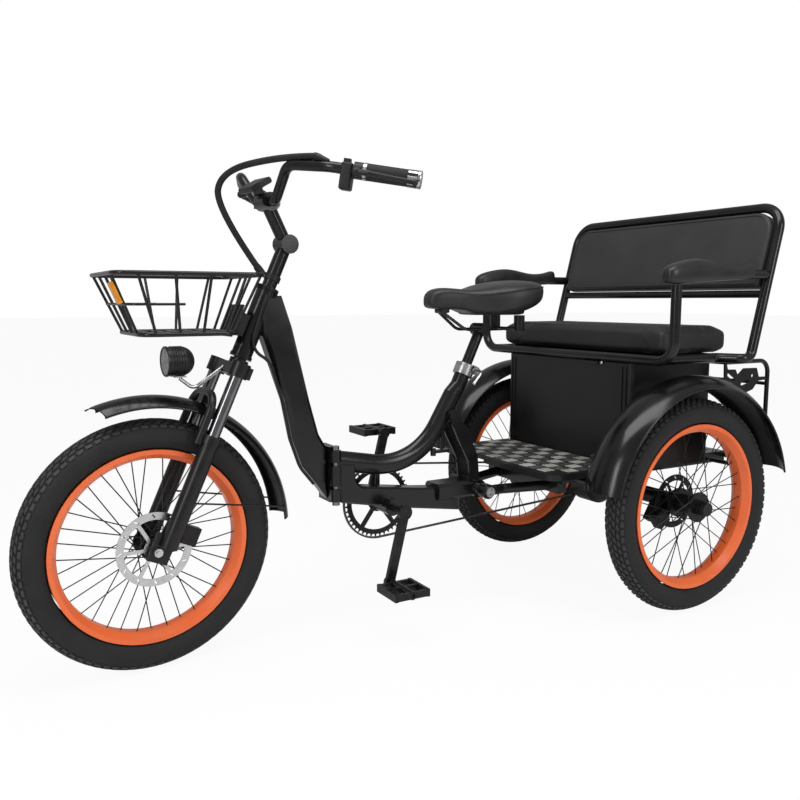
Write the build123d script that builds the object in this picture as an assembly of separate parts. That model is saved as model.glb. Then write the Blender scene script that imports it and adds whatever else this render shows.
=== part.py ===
from build123d import *
import os
from math import atan2, cos, degrees, hypot, pi, radians, sin, sqrt, tan

os.makedirs("parts", exist_ok=True)

# Frame of the model: +X forward, +Y to the rider's left, +Z up, ground at Z = 0.
# All sizes are in millimetres. Pieces of the steering are drawn with the wheel
# straight ahead and then turned by STEER_REST about the steering axis.

# Wheels: 20 inch, 406 mm bead seat, fat tyres.
RIM_SEAT_RADIUS = 203.0
RIM_RADIUS = RIM_SEAT_RADIUS + 7.0
RIM_INNER_RADIUS = RIM_SEAT_RADIUS - 14.0
TYRE_RADIUS = RIM_SEAT_RADIUS + 69.5
TYRE_HALF_WIDTH = 36.0
TYRE_WALL = 4.0
RIM_HALF_WIDTH = 28.0
RIM_LIP = 3.0
SPOKE_COUNT = 36
SPOKE_RADIUS = 1.3
SEAT_GAP = 0.3
RUNNING_FIT = 0.08

# Stance.
WHEELBASE = 1272.0
REAR_AXLE_X = -588.0
HALF_TRACK = 343.0
FRONT_AXLE_X = REAR_AXLE_X + WHEELBASE
AXLE_Z = TYRE_RADIUS

# Steering axis.
HEAD_ANGLE = 66.0
FORK_OFFSET = 35.0
STEER_REST = 4.0
HEAD_COS = cos(radians(HEAD_ANGLE))
HEAD_SIN = sin(radians(HEAD_ANGLE))
AXIS_FOOT_X = FRONT_AXLE_X - FORK_OFFSET * HEAD_SIN
AXIS_FOOT_Z = AXLE_Z - FORK_OFFSET * HEAD_COS
STEER_AXIS = Axis((AXIS_FOOT_X, 0, AXIS_FOOT_Z), (-HEAD_COS, 0, HEAD_SIN))
STEER_PLANE = Plane(
    origin=(AXIS_FOOT_X, 0, AXIS_FOOT_Z),
    x_dir=(HEAD_SIN, 0, HEAD_COS),
    z_dir=(-HEAD_COS, 0, HEAD_SIN),
)

# Heights along the steering axis, counted from its foot beside the front axle.
CROWN_LOW = 398.0
CROWN_HIGH = 430.0
HEAD_TUBE_LOW = 452.0
HEAD_TUBE_HIGH = 604.0
STEM_JOINT = 718.0
HEAD_TUBE_RADIUS = 23.0
STEERER_RADIUS = 14.3
STEERER_BORE = 16.0

# Fork.
LEG_HALF_SPACING = 62.0
LEG_OFFSET = 18.0
STANCHION_RADIUS = 14.0
LOWER_RADIUS = 19.0
LOWER_TOP = 262.0
ARCH_HEIGHT = 346.0
ARCH_RADIUS = 9.0

# Front fender: an arched blade about the front axle, pointed at its front end.
FRONT_FENDER_RADIUS = 322.0
FRONT_FENDER_HALF_WIDTH = 42.0
FRONT_FENDER_FROM = 68.0
FRONT_FENDER_TO = 176.0

AXLE_RADIUS = 5.0
HUB_RADIUS_FRONT = 17.0

# Folding hinge in the middle of the frame.
HINGE_X = REAR_AXLE_X + 850.0
HINGE_LOW = 318.0
HINGE_HIGH = 450.0
HINGE_HALF_WIDTH = 27.0
HINGE_PLATE = 9.0
HINGE_PIN_Y = 43.0
HINGE_PIN_RADIUS = 6.0
KNUCKLE_RADIUS = 13.0
HINGE_GAP = 0.3

# Crank.
CRANK_X = REAR_AXLE_X + 690.0
CRANK_Z = 285.0
CRANK_LENGTH = 170.0
CRANK_REST = 14.0
CRANK_ARM_Y = 88.0
PEDAL_LENGTH = 95.0
CHAIN_Y = -48.0
CHAIN_PITCH = 12.7
CHAINRING_TEETH = 44
SPROCKET_TEETH = 20
SHELL_RADIUS = 21.0

# Seat tube and saddle.
SEAT_TUBE_TOP_X = REAR_AXLE_X + 461.3
SEAT_TUBE_TOP_Z = 612.0
SEAT_TUBE_ANGLE = 64.5
SEAT_POST_RADIUS = 13.6
SADDLE_CLAMP_Z = 716.0
SADDLE_BASE_Z = 752.0
SADDLE_TOP_Z = 842.0
SADDLE_NOSE_LOW_Z = 767.0
SADDLE_NOSE_X = REAR_AXLE_X + 577.0
SADDLE_REAR_X = REAR_AXLE_X + 285.0
SADDLE_HALF_WIDTH = 112.0

# Storage box under the bench.
BOX_FRONT_X = REAR_AXLE_X + 122.0
BOX_REAR_X = REAR_AXLE_X - 178.0
BOX_HALF_WIDTH = 249.0
BOX_LOW = 352.0
BOX_HIGH = 622.0
BOX_WALL = 2.5
BOX_LID = 8.0

# Bench.
BENCH_TUBE_RADIUS = 12.5
BENCH_Z = BOX_HIGH + BOX_LID + BENCH_TUBE_RADIUS + SEAT_GAP
BENCH_FRONT_X = REAR_AXLE_X + 115.0
BENCH_HALF_WIDTH = 378.0
BENCH_BEND = 50.0
ARM_TOP_Z = 826.0
ARM_HALF_WIDTH = 22.0
HOOP_FOOT_X = REAR_AXLE_X - 165.0
HOOP_TOP_X = REAR_AXLE_X - 268.0
HOOP_TOP_Z = 1030.0
HOOP_BEND = 62.0
BACK_RAIL_Z = 806.0
CUSHION_FRONT_X = REAR_AXLE_X + 98.0
CUSHION_REAR_X = REAR_AXLE_X - 152.0
CUSHION_HALF_WIDTH = 312.0
CUSHION_HIGH = 707.0

# Rear structure.
RAIL_HALF_SPACING = 150.0
RAIL_SIZE = 30.0
TAIL_HOLE_SPACING = 160.0
TAIL_HOLE_RADIUS = 4.25
PIVOT_X = REAR_AXLE_X + 436.0
PIVOT_Z = 304.0
PIVOT_BOLT = 8.0
PIVOT_HALF_WIDTH = 38.0
YOKE_Y = 68.0
RAIL_Z = BOX_LOW - RAIL_SIZE / 2 - SEAT_GAP
RAIL_FRONT_X = REAR_AXLE_X + 268.0
REAR_AXLE_RADIUS = 10.0
AXLE_TUBE_RADIUS = 21.0
AXLE_TUBE_END = 268.0
HUB_RADIUS_REAR = 24.0
FENDER_RADIUS = 332.0
FENDER_HALF_WIDTH = 60.0
FENDER_WALL = 2.0
FENDER_DROP = 26.0
BEAD_RADIUS = 2.6
BEAD_OUT = 1.4
RACK_TOP_Z = 625.0
RACK_REAR_X = REAR_AXLE_X - 362.0
RACK_HALF_WIDTH = 288.0
RACK_ROD = 6.0
RAIL_REAR_X = RACK_REAR_X + RACK_ROD + SEAT_GAP


def tube(points, bends, radius, bore=0.0):
    """A round tube along straight runs joined by arcs of the given bend radii."""
    if len(points) == 2:
        path = Wire([Edge.make_line(points[0], points[1])])
    else:
        path = FilletPolyline(*points, radius=bends)
    start = Plane(origin=path @ 0, z_dir=path % 0)
    outside = sweep(start * Circle(radius), path=path)
    if bore > 0:
        outside = outside - sweep(start * Circle(bore), path=path)
    return outside


def rod(start, end, radius):
    """A straight round rod between two points."""
    a = Vector(*start)
    b = Vector(*end)
    return Solid.make_cylinder(radius, (b - a).length, Plane(origin=a, z_dir=b - a))


def across(x, z, y_low, y_high, radius):
    """A round bar parallel to the axles, between two Y values."""
    return rod((x, y_low, z), (x, y_high, z), radius)


def block(x_low, x_high, y_low, y_high, z_low, z_high):
    """A box given by its six faces."""
    centre = ((x_low + x_high) / 2, (y_low + y_high) / 2, (z_low + z_high) / 2)
    return Pos(*centre) * Box(x_high - x_low, y_high - y_low, z_high - z_low)


def side_plate(points, y_low, y_high, corner=0.0):
    """A plate cut to an outline in X and Z, between two Y values."""
    outline = make_face(Polyline(*[(x, z) for x, z in points], close=True))
    if corner > 0:
        outline = fillet(outline.vertices(), corner)
    plane = Plane(origin=(0, y_high, 0), x_dir=(1, 0, 0), z_dir=(0, -1, 0))
    return extrude(plane * outline, amount=y_high - y_low)


def turned(profile, y_centre=0.0, x=0.0, z=0.0):
    """A body of revolution about an axle; the profile gives radius and Y."""
    plane = Plane(origin=(0, 0, 0), x_dir=(0, 0, 1), z_dir=(-1, 0, 0))
    face = plane * profile
    return Pos(x, y_centre, z) * revolve(face, Axis.Y)


def steered(shape):
    """The shape turned with the handlebar from straight ahead to its rest."""
    return shape.rotate(STEER_AXIS, STEER_REST)


def on_head(x, y, z):
    """A point of the steering given across, left and along the steering axis."""
    return tuple(STEER_PLANE.from_local_coords((x, y, z)))


def joined(shapes):
    """One solid from overlapping shapes."""
    first = shapes[0]
    return first.fuse(*shapes[1:]).clean() if len(shapes) > 1 else first


def group(shapes):
    """Separate solids kept in one node."""
    return Compound([solid for shape in shapes for solid in shape.solids()])


def save(shape, name):
    export_step(shape, f"parts/{name}.step")


# Wheel pieces, each drawn about the Y axis through the origin.

def tyre():
    """A fat tyre with rounded tread, open to the rim between its beads."""
    bead = RIM_SEAT_RADIUS + SEAT_GAP
    rim_edge = (RIM_RADIUS + 5.0, RIM_HALF_WIDTH - RIM_LIP - SEAT_GAP)
    shoulder = (TYRE_RADIUS - 5.0, 21.0)
    wall_middle = (TYRE_RADIUS - 32.0, TYRE_HALF_WIDTH)
    carcass = (RIM_RADIUS + 6.0, rim_edge[1] - TYRE_WALL - 1.0)
    half = [
        Polyline((bead, 17.0), (bead, 22.0), rim_edge),
        ThreePointArc(rim_edge, wall_middle, shoulder),
        Polyline((bead, 17.0), carcass),
    ]
    outline = Curve() + half + [mirror(line, Plane.XZ) for line in half]
    outline += ThreePointArc(shoulder, (TYRE_RADIUS, 0.0), (shoulder[0], -shoulder[1]))
    inner_top = (TYRE_RADIUS - 2 * TYRE_WALL, 0.0)
    outline += ThreePointArc(carcass, inner_top, (carcass[0], -carcass[1]))
    return turned(make_face(outline))


def rim():
    """A wide box rim with hooked edges and a drop centre."""
    w = RIM_HALF_WIDTH
    half = [
        (RIM_INNER_RADIUS, 0.0),
        (RIM_INNER_RADIUS, 12.0),
        (RIM_SEAT_RADIUS - 3.0, w),
        (RIM_RADIUS, w),
        (RIM_RADIUS, w - RIM_LIP),
        (RIM_SEAT_RADIUS, w - RIM_LIP),
        (RIM_SEAT_RADIUS, 14.0),
        (RIM_SEAT_RADIUS - 6.0, 9.0),
        (RIM_SEAT_RADIUS - 6.0, 0.0),
    ]
    mirrored = [(r, -y) for r, y in reversed(half)]
    outline = make_face(Polyline(*(half + mirrored[1:-1]), close=True))
    return turned(outline)


def hub(flange_radius, flange_y, barrel_radius, ends, bore):
    """A flanged hub; ends gives the Y and radius of each step of its barrel."""
    pieces = []
    for y_low, y_high, radius in ends:
        pieces.append(across(0, 0, y_low, y_high, radius))
    pieces.append(across(0, 0, -flange_y, flange_y, barrel_radius))
    for side in (-1, 1):
        pieces.append(across(0, 0, side * flange_y - 2.5, side * flange_y + 2.5, flange_radius))
    reach = max(abs(y) for end in ends for y in end[:2]) + 5
    return joined(pieces) - across(0, 0, -reach, reach, bore)


def spokes(flange_radius, flange_y):
    """Crossed spokes: on each flange, leading ones outside and trailing inside."""
    result = []
    per_family = SPOKE_COUNT // 4
    step = 360.0 / per_family
    rim_reach = RIM_INNER_RADIUS + 1.5
    for side in (-1, 1):
        turn = 0.0 if side < 0 else step / 4
        for family, lead in ((0, 60.0), (1, -60.0)):
            layer = 3.1 if family == 0 else -3.1
            for k in range(per_family):
                start_angle = radians(k * step + family * step / 2 + turn)
                end_angle = start_angle + radians(lead)
                start = (
                    (flange_radius - 5) * sin(start_angle),
                    side * (flange_y + layer),
                    (flange_radius - 5) * cos(start_angle),
                )
                end = (
                    (rim_reach - 1.8) * sin(end_angle),
                    side * 4.0,
                    (rim_reach - 1.8) * cos(end_angle),
                )
                a = Vector(*start)
                b = Vector(*end)
                plane = Plane(origin=a, z_dir=b - a)
                result.append(extrude(plane * RegularPolygon(SPOKE_RADIUS, 6), (b - a).length))
    return result


def disc(radius, y):
    """A slotted brake disc on a carrier of six curved arms."""
    ring = turned(Pos(radius - 8, 0) * Rectangle(16, 2), y)
    centre = turned(Pos(17, 0) * Rectangle(12, 2), y)
    arms = []
    for k in range(6):
        arm = block(16, radius - 12, y - 1, y + 1, -4, 4)
        arms.append(arm.rotate(Axis.Y, 60 * k))
    slots = []
    for k in range(12):
        slot = Pos(radius - 8, y, 0) * Rot(0, 35, 0) * Box(10, 4, 3)
        slots.append(slot.rotate(Axis.Y, 30 * k))
    plate = joined([ring, centre] + arms)
    for slot in slots:
        plate = plate - slot
    return plate


# Front wheel, turned with the steering.
FRONT_FLANGE_Y = 27.0
FRONT_DISC_Y = 38.0
FRONT_DISC_RADIUS = 80.0
front_place = Pos(FRONT_AXLE_X, 0, AXLE_Z)
save(steered(front_place * tyre()), "front_tyre")
save(steered(front_place * rim()), "front_rim")
front_hub = hub(
    27.0,
    FRONT_FLANGE_Y,
    HUB_RADIUS_FRONT,
    [(-42.0, 42.0, 12.0), (FRONT_FLANGE_Y, FRONT_DISC_Y - 1.0 - SEAT_GAP, 20.0)],
    AXLE_RADIUS + RUNNING_FIT,
)
front_hub = joined([front_hub] + spokes(27.0, FRONT_FLANGE_Y))
save(steered(front_place * front_hub), "front_hub_and_spokes")
front_disc = disc(FRONT_DISC_RADIUS, FRONT_DISC_Y) - across(0, 0, 30, 50, 12.0 + SEAT_GAP)
save(steered(front_place * front_disc), "front_brake_disc")

# Rear wheels: the disc is carried on the inner end of each hub.
REAR_FLANGE_Y = 30.0
REAR_DISC_RADIUS = 70.0
REAR_DISC_Y = -46.0
for side, name in ((1, "left"), (-1, "right")):
    place = Pos(REAR_AXLE_X, side * HALF_TRACK, AXLE_Z)
    save(place * tyre(), f"rear_{name}_tyre")
    save(place * rim(), f"rear_{name}_rim")
    rear_hub = hub(
        38.0,
        REAR_FLANGE_Y,
        HUB_RADIUS_REAR,
        [(-52.0, 46.0, 19.0), (REAR_DISC_Y - 1, -REAR_FLANGE_Y, 30.0)],
        REAR_AXLE_RADIUS + RUNNING_FIT,
    )
    brake_disc = disc(REAR_DISC_RADIUS, REAR_DISC_Y) - across(0, 0, -60, -20, 18.0)
    rear_hub = joined([rear_hub, brake_disc] + spokes(38.0, REAR_FLANGE_Y))
    if side < 0:
        rear_hub = mirror(rear_hub, Plane.XZ)
    save(place * rear_hub, f"rear_{name}_hub_and_spokes")

# Fork: steerer and crown, two stanchions, lowers joined by a brace behind the tyre.
head = STEER_PLANE.location


def fork_crown():
    """Flat crown with a clamp round each stanchion and the steerer standing on it."""
    crown = head * Pos(LEG_OFFSET / 2, 0, (CROWN_LOW + CROWN_HIGH) / 2) * Box(
        44, 2 * LEG_HALF_SPACING, CROWN_HIGH - CROWN_LOW - 6
    )
    pieces = [crown]
    for side in (-1, 1):
        pieces.append(
            head * Pos(LEG_OFFSET, side * LEG_HALF_SPACING, (CROWN_LOW + CROWN_HIGH) / 2)
            * Cylinder(STANCHION_RADIUS + 7, CROWN_HIGH - CROWN_LOW)
        )
    steerer_top = HEAD_TUBE_HIGH + 38
    pieces.append(
        head * Pos(0, 0, (CROWN_LOW + steerer_top) / 2) * Cylinder(STEERER_RADIUS, steerer_top - CROWN_LOW)
    )
    pieces.append(head * Pos(0, 0, CROWN_HIGH + 4) * Cylinder(21, 12))
    body = joined(pieces)
    for side in (-1, 1):
        body = body - head * Pos(LEG_OFFSET, side * LEG_HALF_SPACING, 400) * Cylinder(STANCHION_RADIUS + 0.1, 300)
    return body


def stanchions():
    """Two plain tubes from the crown down into the lowers."""
    low = LOWER_TOP - 70
    result = []
    for side in (-1, 1):
        result.append(
            head * Pos(LEG_OFFSET, side * LEG_HALF_SPACING, (low + CROWN_HIGH) / 2)
            * Cylinder(STANCHION_RADIUS, CROWN_HIGH - low)
        )
    return group(result)


def fork_lowers():
    """Lower legs with dropouts ahead of them, and an arch over the tyre and fender."""
    pieces = []
    arch_x = LEG_OFFSET + STANCHION_RADIUS + 12
    for side in (-1, 1):
        y = side * LEG_HALF_SPACING
        pieces.append(head * Pos(LEG_OFFSET, y, (LOWER_TOP + 14) / 2) * Cylinder(LOWER_RADIUS, LOWER_TOP - 14))
        pieces.append(head * Pos(LEG_OFFSET, y, LOWER_TOP - 8) * Cylinder(LOWER_RADIUS + 3, 18))
        pieces.append(
            head * Pos((LEG_OFFSET + FORK_OFFSET) / 2, side * (LEG_HALF_SPACING - 10), 8) * Box(44, 12, 62)
        )
    arch_points = [
        on_head(arch_x, LEG_HALF_SPACING, LOWER_TOP - 24),
        on_head(arch_x, LEG_HALF_SPACING - 2, ARCH_HEIGHT),
        on_head(arch_x, -LEG_HALF_SPACING + 2, ARCH_HEIGHT),
        on_head(arch_x, -LEG_HALF_SPACING, LOWER_TOP - 24),
    ]
    pieces.append(tube(arch_points, 40, ARCH_RADIUS))
    fender_top = FRONT_FENDER_RADIUS + SEAT_GAP
    pieces.append(head * Pos(arch_x, 0, (fender_top + ARCH_HEIGHT) / 2) * Box(14, 26, ARCH_HEIGHT - fender_top))
    body = joined(pieces)
    for side in (-1, 1):
        bore = head * Pos(LEG_OFFSET, side * LEG_HALF_SPACING, LOWER_TOP / 2 + 120)
        body = body - bore * Cylinder(STANCHION_RADIUS + SEAT_GAP, 200)
    return body - front_place * across(0, 0, -100, 100, AXLE_RADIUS + 0.1)


save(steered(fork_crown()), "fork_crown")
save(steered(stanchions()), "fork_stanchions")
save(steered(fork_lowers()), "fork_lowers")
front_axle = joined(
    [
        across(0, 0, -72, 72, AXLE_RADIUS),
        across(0, 0, 58.2, 68, 9),
        across(0, 0, -68, -58.2, 9),
    ]
)
save(steered(front_place * front_axle), "front_axle")

def fender_blade(radius, half_width, wall, drop, start, end):
    """An arched sheet turned about the axle between two angles from forward."""
    crown = (radius, 0.0)
    outer = ThreePointArc((radius - drop, -half_width), crown, (radius - drop, half_width))
    inner_edge = half_width - wall
    inner = ThreePointArc(
        (radius - drop - 1.5, -inner_edge), (radius - wall, 0.0), (radius - drop - 1.5, inner_edge)
    )
    ends = [
        Line((radius - drop, side * half_width), (radius - drop - 1.5, side * inner_edge))
        for side in (-1, 1)
    ]
    plane = Plane(origin=(0, 0, 0), x_dir=(1, 0, 0), z_dir=(0, 0, 1))
    section = make_face(Curve() + [outer, inner] + ends)
    bead_y = half_width + BEAD_OUT - BEAD_RADIUS
    for side in (-1, 1):
        section = section + Pos(radius - drop - 1.0, side * bead_y) * Circle(BEAD_RADIUS)
    face = plane * section
    blade = revolve(face, Axis.Y, revolution_arc=end - start)
    return blade.rotate(Axis.Y, -end) if blade.center().Z < 0 else blade.rotate(Axis.Y, -start)


def front_fender():
    """The blade with its front end cut to a point in plan."""
    blade = fender_blade(
        FRONT_FENDER_RADIUS, FRONT_FENDER_HALF_WIDTH, 2.0, 20.0, FRONT_FENDER_FROM, FRONT_FENDER_TO
    )
    for side in (-1, 1):
        corner = Pos(0, side * 55, FRONT_FENDER_RADIUS - 10) * Rot(0, 0, side * 28) * Box(120, 60, 90)
        blade = blade - Pos(150, 0, 0) * corner
    return front_place * blade


save(steered(front_fender()), "front_fender")


def fender_stays():
    """A pair of wires from the lower legs to the rear of the front fender."""
    angle = radians(FRONT_FENDER_TO - 6)
    reach = FRONT_FENDER_RADIUS - 21
    result = []
    for side in (-1, 1):
        foot = on_head(LEG_OFFSET - LOWER_RADIUS - 0.8, side * LEG_HALF_SPACING, 118)
        tip = (
            FRONT_AXLE_X + reach * cos(angle),
            side * (FRONT_FENDER_HALF_WIDTH + BEAD_OUT + 2.0 + SEAT_GAP),
            AXLE_Z + reach * sin(angle),
        )
        result.append(rod(foot, tip, 2.0))
    return group(result)


save(steered(fender_stays()), "front_fender_stays")

# Headlamp ahead of the crown on its bracket.
LAMP_X = REAR_AXLE_X + 1197.0
LAMP_Z = 662.0
LAMP_RADIUS = 31.0
LAMP_LENGTH = 62.0


def headlamp():
    """A round housing, domed behind, with a recess for its lens."""
    back = -LAMP_LENGTH / 2
    front = LAMP_LENGTH / 2
    edge = back + 24.0
    profile = make_face(
        Curve()
        + Polyline((edge, LAMP_RADIUS), (front, LAMP_RADIUS), (front, LAMP_RADIUS - 3), (front - 5, LAMP_RADIUS - 3))
        + Polyline((front - 5, LAMP_RADIUS - 3), (front - 5, 0), (back, 0))
        + ThreePointArc((back, 0), (back + 7, LAMP_RADIUS - 10), (edge, LAMP_RADIUS))
    )
    return Pos(LAMP_X, 0, LAMP_Z) * revolve(profile, Axis.X)


save(steered(headlamp()), "headlamp")
LENS_DEPTH = 4.4
lens_x = LAMP_X + LAMP_LENGTH / 2 - 5 + SEAT_GAP + LENS_DEPTH / 2
lens = Pos(lens_x, 0, LAMP_Z) * Rot(0, 90, 0) * Cylinder(LAMP_RADIUS - 3 - SEAT_GAP, LENS_DEPTH)
save(steered(lens), "headlamp_lens")
lamp_bracket = joined(
    [
        block(LAMP_X - 12, LAMP_X + 12, -10, 10, LAMP_Z - LAMP_RADIUS - 3.3, LAMP_Z - LAMP_RADIUS - 0.3),
        tube(
            [
                (LAMP_X, 0, LAMP_Z - LAMP_RADIUS - 6),
                (LAMP_X - 30, 0, LAMP_Z - LAMP_RADIUS - 30),
                on_head(LEG_OFFSET / 2 + 20, 0, CROWN_LOW + 14),
            ],
            18,
            4,
        ),
    ]
)
lamp_bracket = lamp_bracket - head * Pos(LEG_OFFSET / 2, 0, CROWN_LOW + 16) * Box(44.6, 140, 60)
save(steered(lamp_bracket), "headlamp_bracket")

# Stem: a lower post on the steering axis, an angle joint and an upper post.
BAR_CLAMP_X = REAR_AXLE_X + 994.0
BAR_CLAMP_Z = 1004.0
BAR_RADIUS = 11.1
JOINT_X = AXIS_FOOT_X - STEM_JOINT * HEAD_COS
JOINT_Z = AXIS_FOOT_Z + STEM_JOINT * HEAD_SIN


def stem():
    low = HEAD_TUBE_HIGH + 9
    lower_post = head * Pos(0, 0, (low + STEM_JOINT) / 2) * Cylinder(16, STEM_JOINT - low)
    lower_post = lower_post - head * Pos(0, 0, low) * Cylinder(STEERER_RADIUS + 0.1, 60)
    joint = across(JOINT_X, JOINT_Z, -24, 24, 21)
    upper = rod((JOINT_X, 0, JOINT_Z), (BAR_CLAMP_X, 0, BAR_CLAMP_Z), 15)
    clamp = across(BAR_CLAMP_X, BAR_CLAMP_Z, -24, 24, 20)
    body = joined([lower_post, joint, upper, clamp])
    return body - across(BAR_CLAMP_X, BAR_CLAMP_Z, -30, 30, BAR_RADIUS)


save(steered(stem()), "stem")

# Handlebar: a low bridge in the clamp, risers, then grips swept back and out.
GRIP_RADIUS = 17.0
bar_half = [
    (BAR_CLAMP_X, 0, BAR_CLAMP_Z),
    (BAR_CLAMP_X, 48, BAR_CLAMP_Z),
    (BAR_CLAMP_X + 8, 122, BAR_CLAMP_Z + 66),
    (REAR_AXLE_X + 958, 218, 1060),
    (REAR_AXLE_X + 818, 336, 1034),
]
bar_bends = [34, 40, 60]
bar_points = [(x, -y, z) for x, y, z in reversed(bar_half[1:])] + bar_half[1:]
handlebar = tube(bar_points, [60, 40, 34, 34, 40, 60], BAR_RADIUS)
save(steered(handlebar), "handlebar")


def grips():
    """Rubber grips on the last straight run of each side of the handlebar."""
    result = []
    for side in (-1, 1):
        a = Vector(*bar_half[-2])
        b = Vector(*bar_half[-1])
        way = (b - a).normalized()
        start = b - way * 112
        end = b + way * 2.3
        start = Vector(start.X, side * start.Y, start.Z)
        end = Vector(end.X, side * end.Y, end.Z)
        bar_end = Vector(b.X, side * b.Y, b.Z)
        grip = rod(start, end, GRIP_RADIUS) - rod(start - (end - start), bar_end, BAR_RADIUS + 0.1)
        result.append(grip)
    return group(result)


save(steered(grips()), "grips")


def brake_levers():
    """A perch clamped inboard of each grip, with a blade ahead of and below it."""
    result = []
    for side in (-1, 1):
        a = Vector(*bar_half[-2])
        b = Vector(*bar_half[-1])
        way = (b - a).normalized()
        middle = b - way * 124
        outward = Vector(way.X, way.Y, way.Z)
        ahead = Vector(way.Y, -way.X, 0).normalized()
        perch = rod(middle - outward * 9, middle + outward * 9, 17)
        arm_end = middle + ahead * 34 + Vector(0, 0, -6)
        arm = rod(middle, arm_end, 8)
        knee = arm_end + outward * 26 + ahead * 6
        tip = arm_end + outward * 116 - Vector(0, 0, 4)
        blade = rod(arm_end, knee, 6).fuse(rod(knee, tip, 5), Pos(*knee) * Sphere(6))
        lever = joined([perch, arm, blade, Pos(*arm_end) * Sphere(9), Pos(*tip) * Sphere(6.5)])
        lever = lever - rod(middle - outward * 30, middle + outward * 30, BAR_RADIUS + 0.1)
        result.append(lever if side > 0 else mirror(lever, Plane.XZ))
    return group(result)


save(steered(brake_levers()), "brake_levers")

# Display on the bridge of the handlebar, switch box inside the left grip.
display = Pos(BAR_CLAMP_X + 22, -10, BAR_CLAMP_Z + 34) * Rot(0, 30, 0) * Box(52, 70, 14)
display = fillet(display.edges().filter_by(Axis.Y), 5)
display_arm = block(
    BAR_CLAMP_X - 3, BAR_CLAMP_X + 15, -33, -24.5, BAR_CLAMP_Z - 14, BAR_CLAMP_Z + 34
)
display = joined([display, display_arm]) - across(
    BAR_CLAMP_X, BAR_CLAMP_Z, -60, 60, BAR_RADIUS + 0.1
)
save(steered(display), "display")


def bar_switch():
    """The switch box hanging from the bar between the brake perch and its bend."""
    a = Vector(*bar_half[-2])
    b = Vector(*bar_half[-1])
    way = (b - a).normalized()
    middle = b - way * 147
    place = Plane(origin=middle, x_dir=way, z_dir=Vector(0, 0, 1) - way * way.Z)
    body = place * Pos(0, 4, -14) * Box(24, 34, 54)
    body = fillet(body.edges(), 5)
    button = place * Pos(-3, 6, 15) * Box(14, 14, 12)
    return joined([body, button]) - rod(middle - way * 60, middle + way * 60, BAR_RADIUS + 0.1)


save(steered(bar_switch()), "bar_switch")

# Front brake caliper behind the left leg, over the edge of the disc.
caliper_place = head * Pos(FORK_OFFSET - 62, 0, 48)
front_caliper = caliper_place * Pos(0, FRONT_DISC_Y, 0) * Box(34, 22, 40)
front_caliper = front_caliper - front_place * across(0, 0, FRONT_DISC_Y - 4, FRONT_DISC_Y + 4, 84)
caliper_arm = head * Pos(FORK_OFFSET - 44, FRONT_DISC_Y + 9, 54) * Box(24, 6, 24)
front_caliper = joined([front_caliper, caliper_arm]) - head * Pos(
    LEG_OFFSET, LEG_HALF_SPACING, 100
) * Cylinder(LOWER_RADIUS + SEAT_GAP, 240)
save(steered(front_caliper), "front_caliper")

# Cables: a wrapped bundle from the controls, round in front of the bar, to the stem foot.
bundle_points = [
    (REAR_AXLE_X + 972, 188, 1081.6),
    (REAR_AXLE_X + 1010, 112, 1092),
    (REAR_AXLE_X + 1090, -20, 1060),
    (REAR_AXLE_X + 1092, -42, 990),
    on_head(30, -10, HEAD_TUBE_HIGH + 38),
]
save(steered(tube(bundle_points, [60, 60, 34], 7)), "bar_cables")

# Front frame: head tube, main tube of flat-sided section and the front hinge plate.
MAIN_HALF_WIDTH = 24.0
main_outline = [
    (REAR_AXLE_X + 1026, 752.0),
    (REAR_AXLE_X + 962, 562.0),
    (REAR_AXLE_X + 944, 470.0),
    (REAR_AXLE_X + 922, 408.0),
    (REAR_AXLE_X + 886, 362.0),
    (HINGE_X + HINGE_PLATE, HINGE_LOW + 6),
    (HINGE_X + HINGE_PLATE, HINGE_HIGH - 6),
    (REAR_AXLE_X + 880, 480.0),
    (REAR_AXLE_X + 902, 560.0),
    (REAR_AXLE_X + 942, 728.0),
    (REAR_AXLE_X + 966, 800.0),
    (REAR_AXLE_X + 1006, 800.0),
]


def knuckles(heights, reach):
    """Hinge eyes round the pin, each on a web that reaches back to its plate."""
    result = []
    for z_low, z_high in heights:
        eye = Pos(HINGE_X, HINGE_PIN_Y, (z_low + z_high) / 2) * Cylinder(KNUCKLE_RADIUS, z_high - z_low)
        x_near, x_far = sorted((HINGE_X, HINGE_X + reach))
        web = block(x_near, x_far, HINGE_HALF_WIDTH - 6, HINGE_PIN_Y + 8, z_low, z_high)
        result.append(eye.fuse(web))
    return result


EYE_HEIGHTS = [
    (HINGE_LOW + 6, HINGE_LOW + 34),
    (HINGE_LOW + 35, HINGE_HIGH - 35),
    (HINGE_HIGH - 34, HINGE_HIGH - 6),
]
PIN_CLEAR = HINGE_PIN_Y - KNUCKLE_RADIUS - 1


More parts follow.
